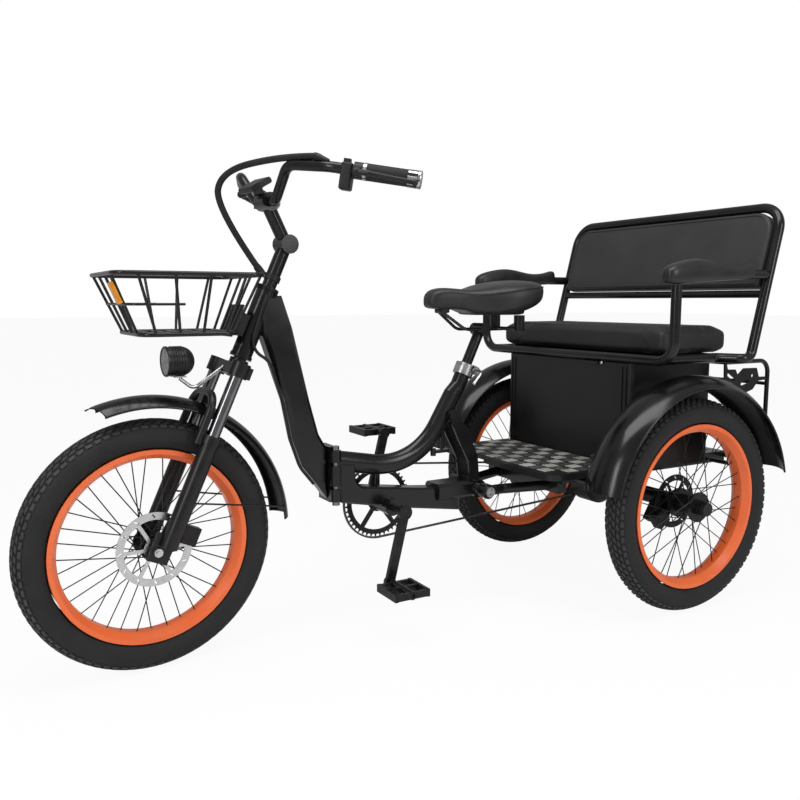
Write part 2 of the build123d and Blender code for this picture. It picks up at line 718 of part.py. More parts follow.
def front_frame():
    """Head tube, main tube and the hinge plate at its lower end."""
    main = side_plate(main_outline, -MAIN_HALF_WIDTH, MAIN_HALF_WIDTH)
    main = chamfer(main.edges().filter_by(GeomType.LINE).filter_by_position(
        Axis.Y, -MAIN_HALF_WIDTH - 0.1, -MAIN_HALF_WIDTH + 0.1), 9)
    main = chamfer(main.edges().filter_by(GeomType.LINE).filter_by_position(
        Axis.Y, MAIN_HALF_WIDTH - 0.1, MAIN_HALF_WIDTH + 0.1), 9)
    head_length = HEAD_TUBE_HIGH - HEAD_TUBE_LOW
    head_tube = head * Pos(0, 0, (HEAD_TUBE_HIGH + HEAD_TUBE_LOW) / 2) * Cylinder(
        HEAD_TUBE_RADIUS, head_length
    )
    plate = block(
        HINGE_X + HINGE_GAP / 2, HINGE_X + HINGE_PLATE, -HINGE_HALF_WIDTH - 6, PIN_CLEAR, HINGE_LOW, HINGE_HIGH
    )
    body = joined([main, head_tube, plate] + knuckles([EYE_HEIGHTS[0], EYE_HEIGHTS[2]], HINGE_PLATE))
    body = body - block(
        HINGE_X - 20, HINGE_X + 20, PIN_CLEAR - 1, HINGE_PIN_Y + 20, EYE_HEIGHTS[0][1], EYE_HEIGHTS[2][0]
    )
    body = body - block(HINGE_X - 30, HINGE_X + HINGE_GAP / 2, -60, PIN_CLEAR, 0, 600)
    body = body - Pos(HINGE_X, HINGE_PIN_Y, 400) * Cylinder(HINGE_PIN_RADIUS + RUNNING_FIT, 300)
    bore = head * Pos(0, 0, (HEAD_TUBE_HIGH + HEAD_TUBE_LOW) / 2)
    return body - bore * Cylinder(STEERER_BORE + 3, head_length + 60)


save(front_frame(), "front_frame")


def headset():
    """A bearing cup at each end of the head tube, on the steerer's running fit."""
    result = []
    for z, out in ((HEAD_TUBE_LOW, -1), (HEAD_TUBE_HIGH, 1)):
        cup = head * Pos(0, 0, z + out * 4.3) * Cylinder(HEAD_TUBE_RADIUS + 2, 8)
        skirt = head * Pos(0, 0, z - out * 8) * Cylinder(STEERER_BORE + 3, 17)
        result.append(joined([cup, skirt]) - head * Pos(0, 0, z) * Cylinder(STEERER_RADIUS + RUNNING_FIT, 60))
    return group(result)


save(headset(), "headset_cups")

# Basket: rod frame open at the top, wider at its rim, on a bracket of the head tube.
BASKET_STANDOFF = 57.0
BASKET_FRONT_X = REAR_AXLE_X + 1346.0
BASKET_TOP_Z = 842.0
BASKET_LOW_Z = 722.0
BASKET_HALF_WIDTH = 130.0
BASKET_TAPER = 24.0
BASKET_REAR_X = AXIS_FOOT_X - (BASKET_TOP_Z - AXIS_FOOT_Z) * HEAD_COS / HEAD_SIN + BASKET_STANDOFF / HEAD_SIN
BASKET_REAR_LEAN = (BASKET_TOP_Z - BASKET_LOW_Z) * HEAD_COS / HEAD_SIN
BASKET_FRONT_LEAN = 52.0
BASKET_ROD = 4.5
BASKET_THIN_ROD = 3.0


def basket_ring(x_low, x_high, half, z, radius, corner):
    """A closed rounded rectangle of rod at one height."""
    path = FilletPolyline(
        (x_low, -half, z), (x_low, half, z), (x_high, half, z), (x_high, -half, z),
        radius=corner, close=True,
    )
    start = Plane(origin=path @ 0, z_dir=path % 0)
    return sweep(start * Circle(radius), path=path)


def basket():
    """Rim, floor ring, floor rods and the uprights that taper inwards."""
    low_rear = BASKET_REAR_X + BASKET_REAR_LEAN
    low_front = BASKET_FRONT_X - BASKET_FRONT_LEAN
    half = BASKET_HALF_WIDTH - BASKET_TAPER
    pieces = [
        basket_ring(BASKET_REAR_X, BASKET_FRONT_X, BASKET_HALF_WIDTH, BASKET_TOP_Z, BASKET_ROD, 30),
        basket_ring(low_rear, low_front, half, BASKET_LOW_Z, BASKET_ROD, 30),
    ]
    for k in range(1, 6):
        x = low_rear + (low_front - low_rear) * k / 6
        pieces.append(across(x, BASKET_LOW_Z, -half, half, BASKET_THIN_ROD))
    for k in range(4):
        share = (k + 0.6) / 4.2
        x_low = low_rear + (low_front - low_rear) * share
        x_top = BASKET_REAR_X + (BASKET_FRONT_X - BASKET_REAR_X) * share
        for side in (-1, 1):
            foot = (x_low, side * half, BASKET_LOW_Z)
            top = (x_top, side * BASKET_HALF_WIDTH, BASKET_TOP_Z)
            pieces.append(rod(foot, top, BASKET_THIN_ROD))
    for k in (-1.5, -0.5, 0.5, 1.5):
        y_low = k * (half - 36) / 1.5
        y_top = k * (BASKET_HALF_WIDTH - 36) / 1.5
        for x_low, x_top in ((low_rear, BASKET_REAR_X), (low_front, BASKET_FRONT_X)):
            pieces.append(rod((x_low, y_low, BASKET_LOW_Z), (x_top, y_top, BASKET_TOP_Z), BASKET_THIN_ROD))
    mid_front = (low_front + BASKET_FRONT_X) / 2
    mid_rear = mid_front - 110
    mid_half = (half + BASKET_HALF_WIDTH) / 2
    mid_z = (BASKET_LOW_Z + BASKET_TOP_Z) / 2
    pieces.append(
        tube(
            [(mid_rear, -mid_half, mid_z), (mid_front, -mid_half, mid_z), (mid_front, mid_half, mid_z), (mid_rear, mid_half, mid_z)],
            30,
            BASKET_THIN_ROD - 0.4,
        )
    )
    return joined(pieces)


save(basket(), "basket")
plate_far = BASKET_STANDOFF - (BASKET_ROD + SEAT_GAP) / 1.0
bracket_mid = (HEAD_TUBE_LOW + HEAD_TUBE_HIGH) / 2 - 16
bracket_plate = head * Pos(plate_far - 2, 0, bracket_mid) * Box(4, 84, 74)
bracket_arm = head * Pos((HEAD_TUBE_RADIUS + plate_far) / 2 - 5, 0, bracket_mid) * Box(
    plate_far - HEAD_TUBE_RADIUS + 8, 28, 50
)
basket_bracket = joined([bracket_plate, bracket_arm]) - head * Pos(0, 0, 528) * Cylinder(
    HEAD_TUBE_RADIUS + 0.1, 300
)
save(basket_bracket, "basket_bracket")
REFLECTOR_DROP = 38.0
front_lean = atan2(BASKET_FRONT_LEAN, BASKET_TOP_Z - BASKET_LOW_Z)
reflector_x = BASKET_FRONT_X - REFLECTOR_DROP * tan(front_lean) + (BASKET_THIN_ROD + 4 + SEAT_GAP) / cos(front_lean)
reflector = Pos(reflector_x, 86, BASKET_TOP_Z - REFLECTOR_DROP) * Rot(0, degrees(front_lean), 0) * Box(8, 22, 44)
save(reflector, "basket_reflector")

# Cables clipped along the front of the main tube.
front_cable_points = [
    on_head(6, HEAD_TUBE_RADIUS + 3.5, HEAD_TUBE_HIGH - 12),
    on_head(-2, HEAD_TUBE_RADIUS + 5, HEAD_TUBE_LOW + 16),
    (REAR_AXLE_X + 999.4, 26, 655),
    (REAR_AXLE_X + 966.5, 12, 562),
    (REAR_AXLE_X + 948.6, 12, 469),
    (REAR_AXLE_X + 927.2, 12, 406.5),
    (REAR_AXLE_X + 892.5, 12, 363),
]
save(tube(front_cable_points, [40, 60, 120, 120, 80], 3.5), "front_cables")

latch = block(HINGE_X - 14, HINGE_X + 16, -HINGE_HALF_WIDTH - 14, -HINGE_HALF_WIDTH - 6.3, 372, 396)
latch_handle = block(HINGE_X + 6, HINGE_X + 16, -HINGE_HALF_WIDTH - 24, -HINGE_HALF_WIDTH - 6.3, 380, 446)
save(joined([latch, latch_handle]), "fold_latch")

# Crankset, chainring and pedals.
PEDAL_AXLE_REACH = 14.0


def pedal_point(side):
    """Centre of a pedal spindle's outer end of the crank arm."""
    angle = radians(CRANK_REST)
    return (CRANK_X + side * CRANK_LENGTH * sin(angle), CRANK_Z - side * CRANK_LENGTH * cos(angle))


def crankset():
    """Both arms on one spindle, half a turn apart, with their pedal spindles."""
    pieces = [across(CRANK_X, CRANK_Z, -CRANK_ARM_Y, CRANK_ARM_Y, 8.5)]
    for side in (-1, 1):
        x, z = pedal_point(side)
        y_in = side * CRANK_ARM_Y - 6
        y_out = side * CRANK_ARM_Y + 6
        pieces.append(across(CRANK_X, CRANK_Z, y_in, y_out, 18))
        pieces.append(across(x, z, y_in, y_out, 14))
        arm = Pos((CRANK_X + x) / 2, side * CRANK_ARM_Y, (CRANK_Z + z) / 2) * Rot(0, -CRANK_REST, 0) * Box(
            22, 12, CRANK_LENGTH
        )
        pieces.append(arm)
        far = side * (CRANK_ARM_Y + PEDAL_AXLE_REACH + PEDAL_LENGTH - 4)
        low, high = sorted((side * CRANK_ARM_Y, far))
        pieces.append(across(x, z, low, high, 5))
    return joined(pieces)


save(crankset(), "crankset")


def teeth(count, root, x, z):
    """Tapered teeth, one every pitch, whose feet stand this deep inside the pitch circle."""
    pitch_radius = CHAIN_PITCH / (2 * sin(pi / count))
    tooth = make_face(Polyline((-3.4, -root), (3.4, -root), (1.2, 3.0), (-1.2, 3.0), close=True))
    plane = Plane(origin=(0, CHAIN_Y + 1.0, pitch_radius), x_dir=(1, 0, 0), z_dir=(0, -1, 0))
    one = extrude(plane * tooth, 2.0)
    return [Pos(x, 0, z) * one.rotate(Axis.Y, 360 * (k + 0.5) / count) for k in range(count)]


def chainring():
    """A toothed ring on five arms, beside the right crank arm."""
    pitch_radius = CHAIN_PITCH / (2 * sin(pi / CHAINRING_TEETH))
    ring = turned(Pos(pitch_radius - 9, 0) * Rectangle(12, 3), CHAIN_Y, CRANK_X, CRANK_Z)
    centre = turned(Pos(18, 0) * Rectangle(18, 3), CHAIN_Y, CRANK_X, CRANK_Z)
    pieces = [ring, centre]
    for k in range(5):
        arm = Pos(0, CHAIN_Y, (pitch_radius + 12) / 2) * Box(12, 3, pitch_radius - 36)
        pieces.append(Pos(CRANK_X, 0, CRANK_Z) * arm.rotate(Axis.Y, 72 * k))
    pieces += teeth(CHAINRING_TEETH, 5.0, CRANK_X, CRANK_Z)
    return joined(pieces) - across(CRANK_X, CRANK_Z, CHAIN_Y - 5, CHAIN_Y + 5, 8.5)


save(chainring(), "chainring")


def pedal(side):
    """A flat cage pedal: two side bars, four cross bars and a barrel on the spindle."""
    x, z = pedal_point(side)
    y_in = CRANK_ARM_Y + PEDAL_AXLE_REACH
    barrel = across(0, 0, y_in, y_in + PEDAL_LENGTH, 10)
    pieces = [barrel]
    for front in (-1, 1):
        pieces.append(block(front * 42 - 4, front * 42 + 4, y_in + 6, y_in + PEDAL_LENGTH, -9, 9))
    for y in (y_in + 10, y_in + PEDAL_LENGTH / 2, y_in + PEDAL_LENGTH - 4):
        pieces.append(block(-42, 42, y - 4, y + 4, -8, 8))
    body = joined(pieces) - across(0, 0, 0, 400, 5 + RUNNING_FIT)
    body = body if side > 0 else mirror(body, Plane.XZ)
    return Pos(x, 0, z) * body


save(pedal(1), "pedal_left")
save(pedal(-1), "pedal_right")

# Rear half of the frame: hinge plate, upper tube rising to the seat tube, lower beam.
SEAT_TUBE_RADIUS = 20.0
SEAT_COS = cos(radians(SEAT_TUBE_ANGLE))
SEAT_SIN = sin(radians(SEAT_TUBE_ANGLE))
UPPER_TUBE_RADIUS = 18.0
BEAM_HALF_WIDTH = 22.0


def on_seat_tube(z):
    """X of the seat tube's axis at a height."""
    return SEAT_TUBE_TOP_X - (z - SEAT_TUBE_TOP_Z) * SEAT_COS / SEAT_SIN


# The tube that sweeps from the hinge up to the seat tube is deeper than it is wide.
SWAN_HALF_DEPTH = 25.0
SWAN_HALF_WIDTH = 19.0
SWAN_LOW_Z = 389.0
SWAN_HINGE_Z = 413.0
SWAN_END_Z = 551.0
STRAP_WIDTH = 28.0
STRAP_Y = 24.0
STRAP_THICK = 6.0


def swan_tube():
    """An oval tube: level behind the hinge, curving up, drawn down to the seat tube's size."""
    path = FilletPolyline(
        (HINGE_X - 6, 0, SWAN_HINGE_Z),
        (HINGE_X - 135, 0, SWAN_LOW_Z),
        (HINGE_X - 255, 0, SWAN_LOW_Z - 1),
        (on_seat_tube(SWAN_END_Z) + 6, 0, SWAN_END_Z),
        radius=[180, 175],
    )
    start = Plane(origin=path @ 0, x_dir=(0, 1, 0), z_dir=path % 0)
    oval = sweep(start * Ellipse(SWAN_HALF_WIDTH, SWAN_HALF_DEPTH), path=path)
    low = Plane(origin=path @ 1, x_dir=(0, 1, 0), z_dir=path % 1)
    neck_z = SWAN_END_Z + 26
    neck = Plane(origin=(on_seat_tube(neck_z), 0, neck_z), x_dir=(0, 1, 0), z_dir=(-SEAT_COS, 0, SEAT_SIN))
    taper = loft([low * Ellipse(SWAN_HALF_WIDTH, SWAN_HALF_DEPTH), neck * Ellipse(SEAT_TUBE_RADIUS - 0.5, SEAT_TUBE_RADIUS - 0.4)])
    return [oval, taper]


def seat_straps():
    """A flat bent strap each side, bolted to the oval tube and welded to the pivot housing."""
    half = STRAP_WIDTH / 2
    top_z = 512.0
    top_x = on_seat_tube(top_z) + 8
    line = [(top_x, top_z), (PIVOT_X + 46, 444), (PIVOT_X + 14, 386), (PIVOT_X + 6, 300)]
    outline = [
        (top_x + half, top_z), (line[1][0] + half + 2, 440), (line[2][0] + half + 1, 378), (line[3][0] + half, 300),
        (line[3][0] - half, 300), (line[2][0] - half, 390), (line[1][0] - half - 3, 452), (top_x - half, top_z + 4),
    ]
    result = []
    for side in (-1, 1):
        low, high = sorted((side * STRAP_Y, side * (STRAP_Y + STRAP_THICK)))
        result.append(side_plate(outline, low, high, 9))
    result.append(across(top_x, top_z - 12, -STRAP_Y - STRAP_THICK - 5, STRAP_Y + STRAP_THICK + 5, 8))
    return result


def beam_plate():
    """The lower beam: one deep box section whose front web rises to the oval tube round a slit."""
    back = HINGE_X - 364
    outline = [
        (HINGE_X - HINGE_PLATE, SWAN_HINGE_Z - 4),
        (HINGE_X - 64, SWAN_HINGE_Z - 11),
        (HINGE_X - 64, 346),
        (HINGE_X - 242, 322),
        (back, 310),
        (back, 250),
        (HINGE_X - 185, 278),
        (HINGE_X - 28, 309),
        (HINGE_X - HINGE_PLATE, HINGE_LOW + 4),
    ]
    face = make_face(Polyline(*outline, close=True))
    inside = [v for v in face.vertices() if abs(v.X - HINGE_X + 64) < 1 and v.Y < 360]
    face = fillet(inside, 30)
    plane = Plane(origin=(0, BEAM_HALF_WIDTH, 0), x_dir=(1, 0, 0), z_dir=(0, -1, 0))
    beam = extrude(plane * face, 2 * BEAM_HALF_WIDTH)
    for side in (-1, 1):
        rim = beam.edges().filter_by_position(Axis.Y, side * BEAM_HALF_WIDTH - 0.1, side * BEAM_HALF_WIDTH + 0.1)
        beam = chamfer(rim, 5)
    return beam


def rear_frame():
    seat_sleeve = rod(
        (on_seat_tube(560), 0, 560), (on_seat_tube(SEAT_TUBE_TOP_Z), 0, SEAT_TUBE_TOP_Z), SEAT_TUBE_RADIUS
    )
    plate = block(
        HINGE_X - HINGE_PLATE, HINGE_X - HINGE_GAP / 2, -HINGE_HALF_WIDTH - 6, PIN_CLEAR, HINGE_LOW, HINGE_HIGH
    )
    shell = across(CRANK_X, CRANK_Z, -34, 34, SHELL_RADIUS)
    joint_tube = across(PIVOT_X, PIVOT_Z, -PIVOT_HALF_WIDTH, PIVOT_HALF_WIDTH, 23)
    housing = block(PIVOT_X, HINGE_X - 294, -PIVOT_HALF_WIDTH + 4, PIVOT_HALF_WIDTH - 4, 284, 326)
    housing = chamfer(housing.edges().filter_by(Axis.X), 8)
    clip = block(HINGE_X - 341, HINGE_X - 291, -6, 6, 402, 410)
    clip_stem = rod((HINGE_X - 322, 0, 406), (HINGE_X - 326, 0, 470), 4)
    clip_bolt = rod((HINGE_X - 296, 0, 396), (HINGE_X - 296, 0, 415), 7)
    body = joined(
        [beam_plate(), seat_sleeve, plate, shell, joint_tube, housing, clip, clip_stem, clip_bolt]
        + swan_tube() + seat_straps() + knuckles([EYE_HEIGHTS[1]], -HINGE_PLATE)
    )
    body = body - block(HINGE_X + HINGE_PLATE - 8.85, HINGE_X + 30, -60, PIN_CLEAR, 0, 600)
    for z_low, z_high in (EYE_HEIGHTS[0], EYE_HEIGHTS[2]):
        body = body - block(HINGE_X - 22, HINGE_X + 22, PIN_CLEAR, HINGE_PIN_Y + 20, z_low - 8, z_high + 8)
    body = body - Pos(HINGE_X, HINGE_PIN_Y, 400) * Cylinder(HINGE_PIN_RADIUS + 0.02, 300)
    body = body - across(CRANK_X, CRANK_Z, -40, 40, 8.5 + RUNNING_FIT)
    body = body - across(PIVOT_X, PIVOT_Z, -60, 60, PIVOT_BOLT + 0.1)
    seat_bore_low = (on_seat_tube(500), 0, 500)
    seat_bore_high = (on_seat_tube(SEAT_TUBE_TOP_Z + 20), 0, SEAT_TUBE_TOP_Z + 20)
    return body - rod(seat_bore_low, seat_bore_high, SEAT_POST_RADIUS + 0.1)


save(rear_frame(), "rear_frame")
pin_low = HINGE_LOW + 2
pin_high = HINGE_HIGH - 2
pin = Pos(HINGE_X, HINGE_PIN_Y, (pin_low + pin_high) / 2) * Cylinder(HINGE_PIN_RADIUS, pin_high - pin_low)
cap = Pos(HINGE_X, HINGE_PIN_Y, pin_high + 2) * Cylinder(9, 8)
foot_cap = Pos(HINGE_X, HINGE_PIN_Y, pin_low - 2) * Cylinder(9, 8)
save(joined([pin, cap, foot_cap]), "hinge_pin")

# Seat clamp, seat post with the saddle clamp and rails, and the saddle.
CLAMP_HALF = 13.0


def seat_clamp():
    """A collar over the end of the seat tube, with two ears, a bolt and a lever behind."""
    low = SEAT_TUBE_TOP_Z - CLAMP_HALF
    high = SEAT_TUBE_TOP_Z + CLAMP_HALF
    ear_x = on_seat_tube(SEAT_TUBE_TOP_Z) - SEAT_TUBE_RADIUS - 12
    shape = rod((on_seat_tube(low), 0, low), (on_seat_tube(high), 0, high), SEAT_TUBE_RADIUS + 6)
    ears = Pos(ear_x, 0, SEAT_TUBE_TOP_Z - 2) * Rot(0, SEAT_TUBE_ANGLE - 90, 0) * Box(18, 14, 20)
    bolt = across(ear_x - 2, SEAT_TUBE_TOP_Z - 2, -14, 20, 4)
    lever = tube(
        [(ear_x - 2, 17, SEAT_TUBE_TOP_Z - 2), (ear_x - 2, 30, SEAT_TUBE_TOP_Z - 8), (ear_x + 24, 34, SEAT_TUBE_TOP_Z - 34)],
        10,
        4.5,
    )
    shape = joined([shape, ears, bolt, lever])
    over = (on_seat_tube(SEAT_TUBE_TOP_Z + 0.1), 0, SEAT_TUBE_TOP_Z + 0.1)
    shape = shape - rod((on_seat_tube(560), 0, 560), over, SEAT_TUBE_RADIUS + 0.1)
    return shape - rod((on_seat_tube(560), 0, 560), (on_seat_tube(640), 0, 640), SEAT_POST_RADIUS + 0.1)


save(seat_clamp(), "seat_clamp")


def seat_post():
    """Post, rail clamp, two rails and two coil housings under the saddle's rear."""
    clamp_x = on_seat_tube(SADDLE_CLAMP_Z)
    post = rod((on_seat_tube(515), 0, 515), (clamp_x, 0, SADDLE_CLAMP_Z), SEAT_POST_RADIUS)
    clamp = across(clamp_x, SADDLE_CLAMP_Z, -26, 26, 16)
    pieces = [post, clamp]
    for side in (-1, 1):
        y = side * 20
        pieces.append(
            tube(
                [
                    (SADDLE_NOSE_X - 40, side * 8, SADDLE_NOSE_LOW_Z - 4 - SEAT_GAP),
                    (clamp_x + 60, y, SADDLE_CLAMP_Z),
                    (clamp_x - 50, y, SADDLE_CLAMP_Z),
                    (SADDLE_REAR_X + 40, side * 48, SADDLE_CLAMP_Z + 4),
                ],
                [40, 40],
                4,
            )
        )
        coil_low = SADDLE_CLAMP_Z - 4
        coil_high = SADDLE_BASE_Z - SEAT_GAP
        foot = Pos(SADDLE_REAR_X + 40, side * 52, (coil_low + coil_high) / 2)
        pieces.append(foot * Cylinder(14, coil_high - coil_low))
    pieces.append(across(SADDLE_REAR_X + 40, SADDLE_CLAMP_Z, -60, 60, 5))
    return joined(pieces)


def saddle():
    """A deep skirted saddle: its plan and its side outline cut one block, its top is domed across."""
    half = SADDLE_HALF_WIDTH
    nose = SADDLE_NOSE_X
    rear = SADDLE_REAR_X
    plan = Curve() + [
        ThreePointArc((nose - 22, -28), (nose + 2, 0), (nose - 22, 28)),
        Line((nose - 22, 28), (nose - 110, 40)),
        ThreePointArc((nose - 110, 40), (rear + 130, 70), (rear + 92, half - 10)),
        ThreePointArc((rear + 92, half - 10), (rear + 40, half), (rear + 6, half - 48)),
        ThreePointArc((rear + 6, half - 48), (rear + 1, 0), (rear + 6, -half + 48)),
        ThreePointArc((rear + 6, -half + 48), (rear + 40, -half), (rear + 92, -half + 10)),
        ThreePointArc((rear + 92, -half + 10), (rear + 130, -70), (nose - 110, -40)),
        Line((nose - 110, -40), (nose - 22, -28)),
    ]
    crown = SADDLE_TOP_Z - 20
    tip_z = SADDLE_NOSE_LOW_Z + 14
    side = Curve() + [
        Line((nose - 22, SADDLE_NOSE_LOW_Z), (nose, tip_z)),
        ThreePointArc((nose, tip_z), (nose - 14, crown - 12), (nose - 46, crown)),
        ThreePointArc((nose - 46, crown), (nose - 143, crown - 4), (rear + 14, SADDLE_TOP_Z)),
        ThreePointArc((rear + 14, SADDLE_TOP_Z), (rear + 3, SADDLE_TOP_Z - 18), (rear, SADDLE_TOP_Z - 42)),
        Line((rear, SADDLE_TOP_Z - 42), (rear + 16, SADDLE_BASE_Z)),
        Line((rear + 16, SADDLE_BASE_Z), (nose - 112, SADDLE_BASE_Z)),
        Line((nose - 112, SADDLE_BASE_Z), (nose - 98, SADDLE_NOSE_LOW_Z)),
        Line((nose - 98, SADDLE_NOSE_LOW_Z), (nose - 22, SADDLE_NOSE_LOW_Z)),
    ]
    body = extrude(Pos(0, 0, SADDLE_BASE_Z - 5) * make_face(plan), SADDLE_TOP_Z - SADDLE_BASE_Z + 10)
    plane = Plane(origin=(0, half + 5, 0), x_dir=(1, 0, 0), z_dir=(0, -1, 0))
    body = body & extrude(plane * make_face(side), 2 * half + 10)
    dome = Pos((nose + rear) / 2, 0, SADDLE_TOP_Z - 150) * Rot(0, 90, 0) * Cylinder(150, 400)
    return body & dome


save(seat_post(), "seat_post")
save(saddle(), "saddle")

# Rear pivot block behind the beam, and the subframe that carries box and axle.


def subframe():
    """Two long rails, cross bars, and the yoke from the frame's joint tube."""
    pieces = []
    half = RAIL_SIZE / 2
    for side in (-1, 1):
        y = side * RAIL_HALF_SPACING
        pieces.append(block(RAIL_REAR_X, RAIL_FRONT_X, y - half, y + half, RAIL_Z - half, RAIL_Z + half))
    low_z = RAIL_Z - RAIL_SIZE
    for x, z in ((RAIL_FRONT_X - half, low_z + 1), (REAR_AXLE_X - 150, RAIL_Z), (RAIL_REAR_X + half, RAIL_Z)):
        pieces.append(block(x - half, x + half, -RAIL_HALF_SPACING, RAIL_HALF_SPACING, z - half, z + half))
    for side in (-1, 1):
        pieces.append(
            tube(
                [
                    (PIVOT_X + 10, side * YOKE_Y, PIVOT_Z),
                    (PIVOT_X - 50, side * YOKE_Y, PIVOT_Z),
                    (RAIL_FRONT_X - half, side * 110, low_z + 1),
                    (RAIL_FRONT_X - 2 * half, side * 110, low_z + 1),
                ],
                [30, 30],
                13,
            )
        )
        plate = side_plate(
            [
                (REAR_AXLE_X - 50, RAIL_Z - half + 3),
                (REAR_AXLE_X + 50, RAIL_Z - half + 3),
                (REAR_AXLE_X + 26, AXLE_Z - 26),
                (REAR_AXLE_X - 26, AXLE_Z - 26),
            ],
            side * RAIL_HALF_SPACING - 5,
            side * RAIL_HALF_SPACING + 5,
        )
        pieces.append(plate)
        pieces.append(across(PIVOT_X, PIVOT_Z, side * YOKE_Y - 13, side * YOKE_Y + 13, 19))
    body = joined(pieces)
    body = body - across(PIVOT_X, PIVOT_Z, -100, 100, PIVOT_BOLT + 0.1)
    for side in (-1, 1):
        hole = Pos(RAIL_REAR_X + half, side * TAIL_HOLE_SPACING / 2, RAIL_Z) * Cylinder(TAIL_HOLE_RADIUS, 60)
        body = body - hole
    return body - across(REAR_AXLE_X, AXLE_Z, -200, 200, AXLE_TUBE_RADIUS + 0.1)


save(subframe(), "rear_subframe")
rear_axle = joined(
    [
        across(0, 0, -AXLE_TUBE_END, AXLE_TUBE_END, AXLE_TUBE_RADIUS),
        across(0, 0, -HALF_TRACK - 56, HALF_TRACK + 56, REAR_AXLE_RADIUS),
        across(0, 0, HALF_TRACK + 46.3, HALF_TRACK + 60, 17),
        across(0, 0, -HALF_TRACK - 60, -HALF_TRACK - 46.3, 17),
    ]
)
rear_axle = Pos(REAR_AXLE_X, 0, AXLE_Z) * rear_axle
MOTOR_RADIUS = 62.0
MOTOR_HALF_WIDTH = 40.0
motor = across(REAR_AXLE_X, AXLE_Z, -MOTOR_HALF_WIDTH, MOTOR_HALF_WIDTH, MOTOR_RADIUS)
motor = chamfer(motor.edges(), 10)
sprocket_radius = CHAIN_PITCH / (2 * sin(pi / SPROCKET_TEETH))
sprocket = across(REAR_AXLE_X, AXLE_Z, CHAIN_Y - 1.0, CHAIN_Y + 1.0, sprocket_radius - 4)
boss = across(REAR_AXLE_X, AXLE_Z, CHAIN_Y - 0.5, -MOTOR_HALF_WIDTH + 2, AXLE_TUBE_RADIUS + 7)
motor = joined([motor, boss, sprocket] + teeth(SPROCKET_TEETH, 6.0, REAR_AXLE_X, AXLE_Z))
motor = motor - across(REAR_AXLE_X, AXLE_Z, -100, 100, AXLE_TUBE_RADIUS + 0.1)
motor = motor - block(REAR_AXLE_X - 90, REAR_AXLE_X + 90, -90, 90, RAIL_Z - RAIL_SIZE / 2 - 0.3, 400)
save(rear_axle, "rear_axle")
save(motor, "motor")

# Pivot bolt that holds the subframe's yoke to the frame, with a sleeve each side.
sleeve_low = PIVOT_HALF_WIDTH + SEAT_GAP
sleeve_high = YOKE_Y - 13 - SEAT_GAP
bolt_end = YOKE_Y + 13 + SEAT_GAP
pivot_bolt = joined(
    [
        across(PIVOT_X, PIVOT_Z, -bolt_end - 6, bolt_end + 6, PIVOT_BOLT),
        across(PIVOT_X, PIVOT_Z, sleeve_low, sleeve_high, 14),
        across(PIVOT_X, PIVOT_Z, -sleeve_high, -sleeve_low, 14),
        across(PIVOT_X, PIVOT_Z, bolt_end, bolt_end + 8, 13),
        across(PIVOT_X, PIVOT_Z, -bolt_end - 8, -bolt_end, 13),
    ]
)
save(pivot_bolt, "pivot_bolt")

# Storage box, its lid, and the battery standing in it.


def storage_box():
    outer = block(BOX_REAR_X, BOX_FRONT_X, -BOX_HALF_WIDTH, BOX_HALF_WIDTH, BOX_LOW, BOX_HIGH)
    outer = fillet(outer.edges().filter_by(Axis.Z), 12)
    inner = block(
        BOX_REAR_X + BOX_WALL,
        BOX_FRONT_X - BOX_WALL,
        -BOX_HALF_WIDTH + BOX_WALL,
        BOX_HALF_WIDTH - BOX_WALL,
        BOX_LOW + BOX_WALL,
        BOX_HIGH + 5,
    )
    inner = fillet(inner.edges().filter_by(Axis.Z), 10)
    ribs = []
    for side in (-1, 1):
        for inset in (16, 30):
            y = side * (BOX_HALF_WIDTH - inset)
            ribs.append(block(BOX_FRONT_X - 1, BOX_FRONT_X + 2.5, y - 2, y + 2, BOX_LOW + 20, BOX_HIGH - 0.5))
    return joined([outer - inner] + ribs)


save(storage_box(), "storage_box")
lid = block(BOX_REAR_X, BOX_FRONT_X, -BOX_HALF_WIDTH, BOX_HALF_WIDTH, BOX_HIGH, BOX_HIGH + BOX_LID)
save(fillet(lid.edges().filter_by(Axis.Z), 12), "box_lid")
battery = block(BOX_REAR_X + 40, BOX_REAR_X + 130, -190, 190, BOX_LOW + BOX_WALL, BOX_LOW + 110)
save(battery, "battery")

# Bench: a front loop that carries the armrests, a back hoop, and the back rail.


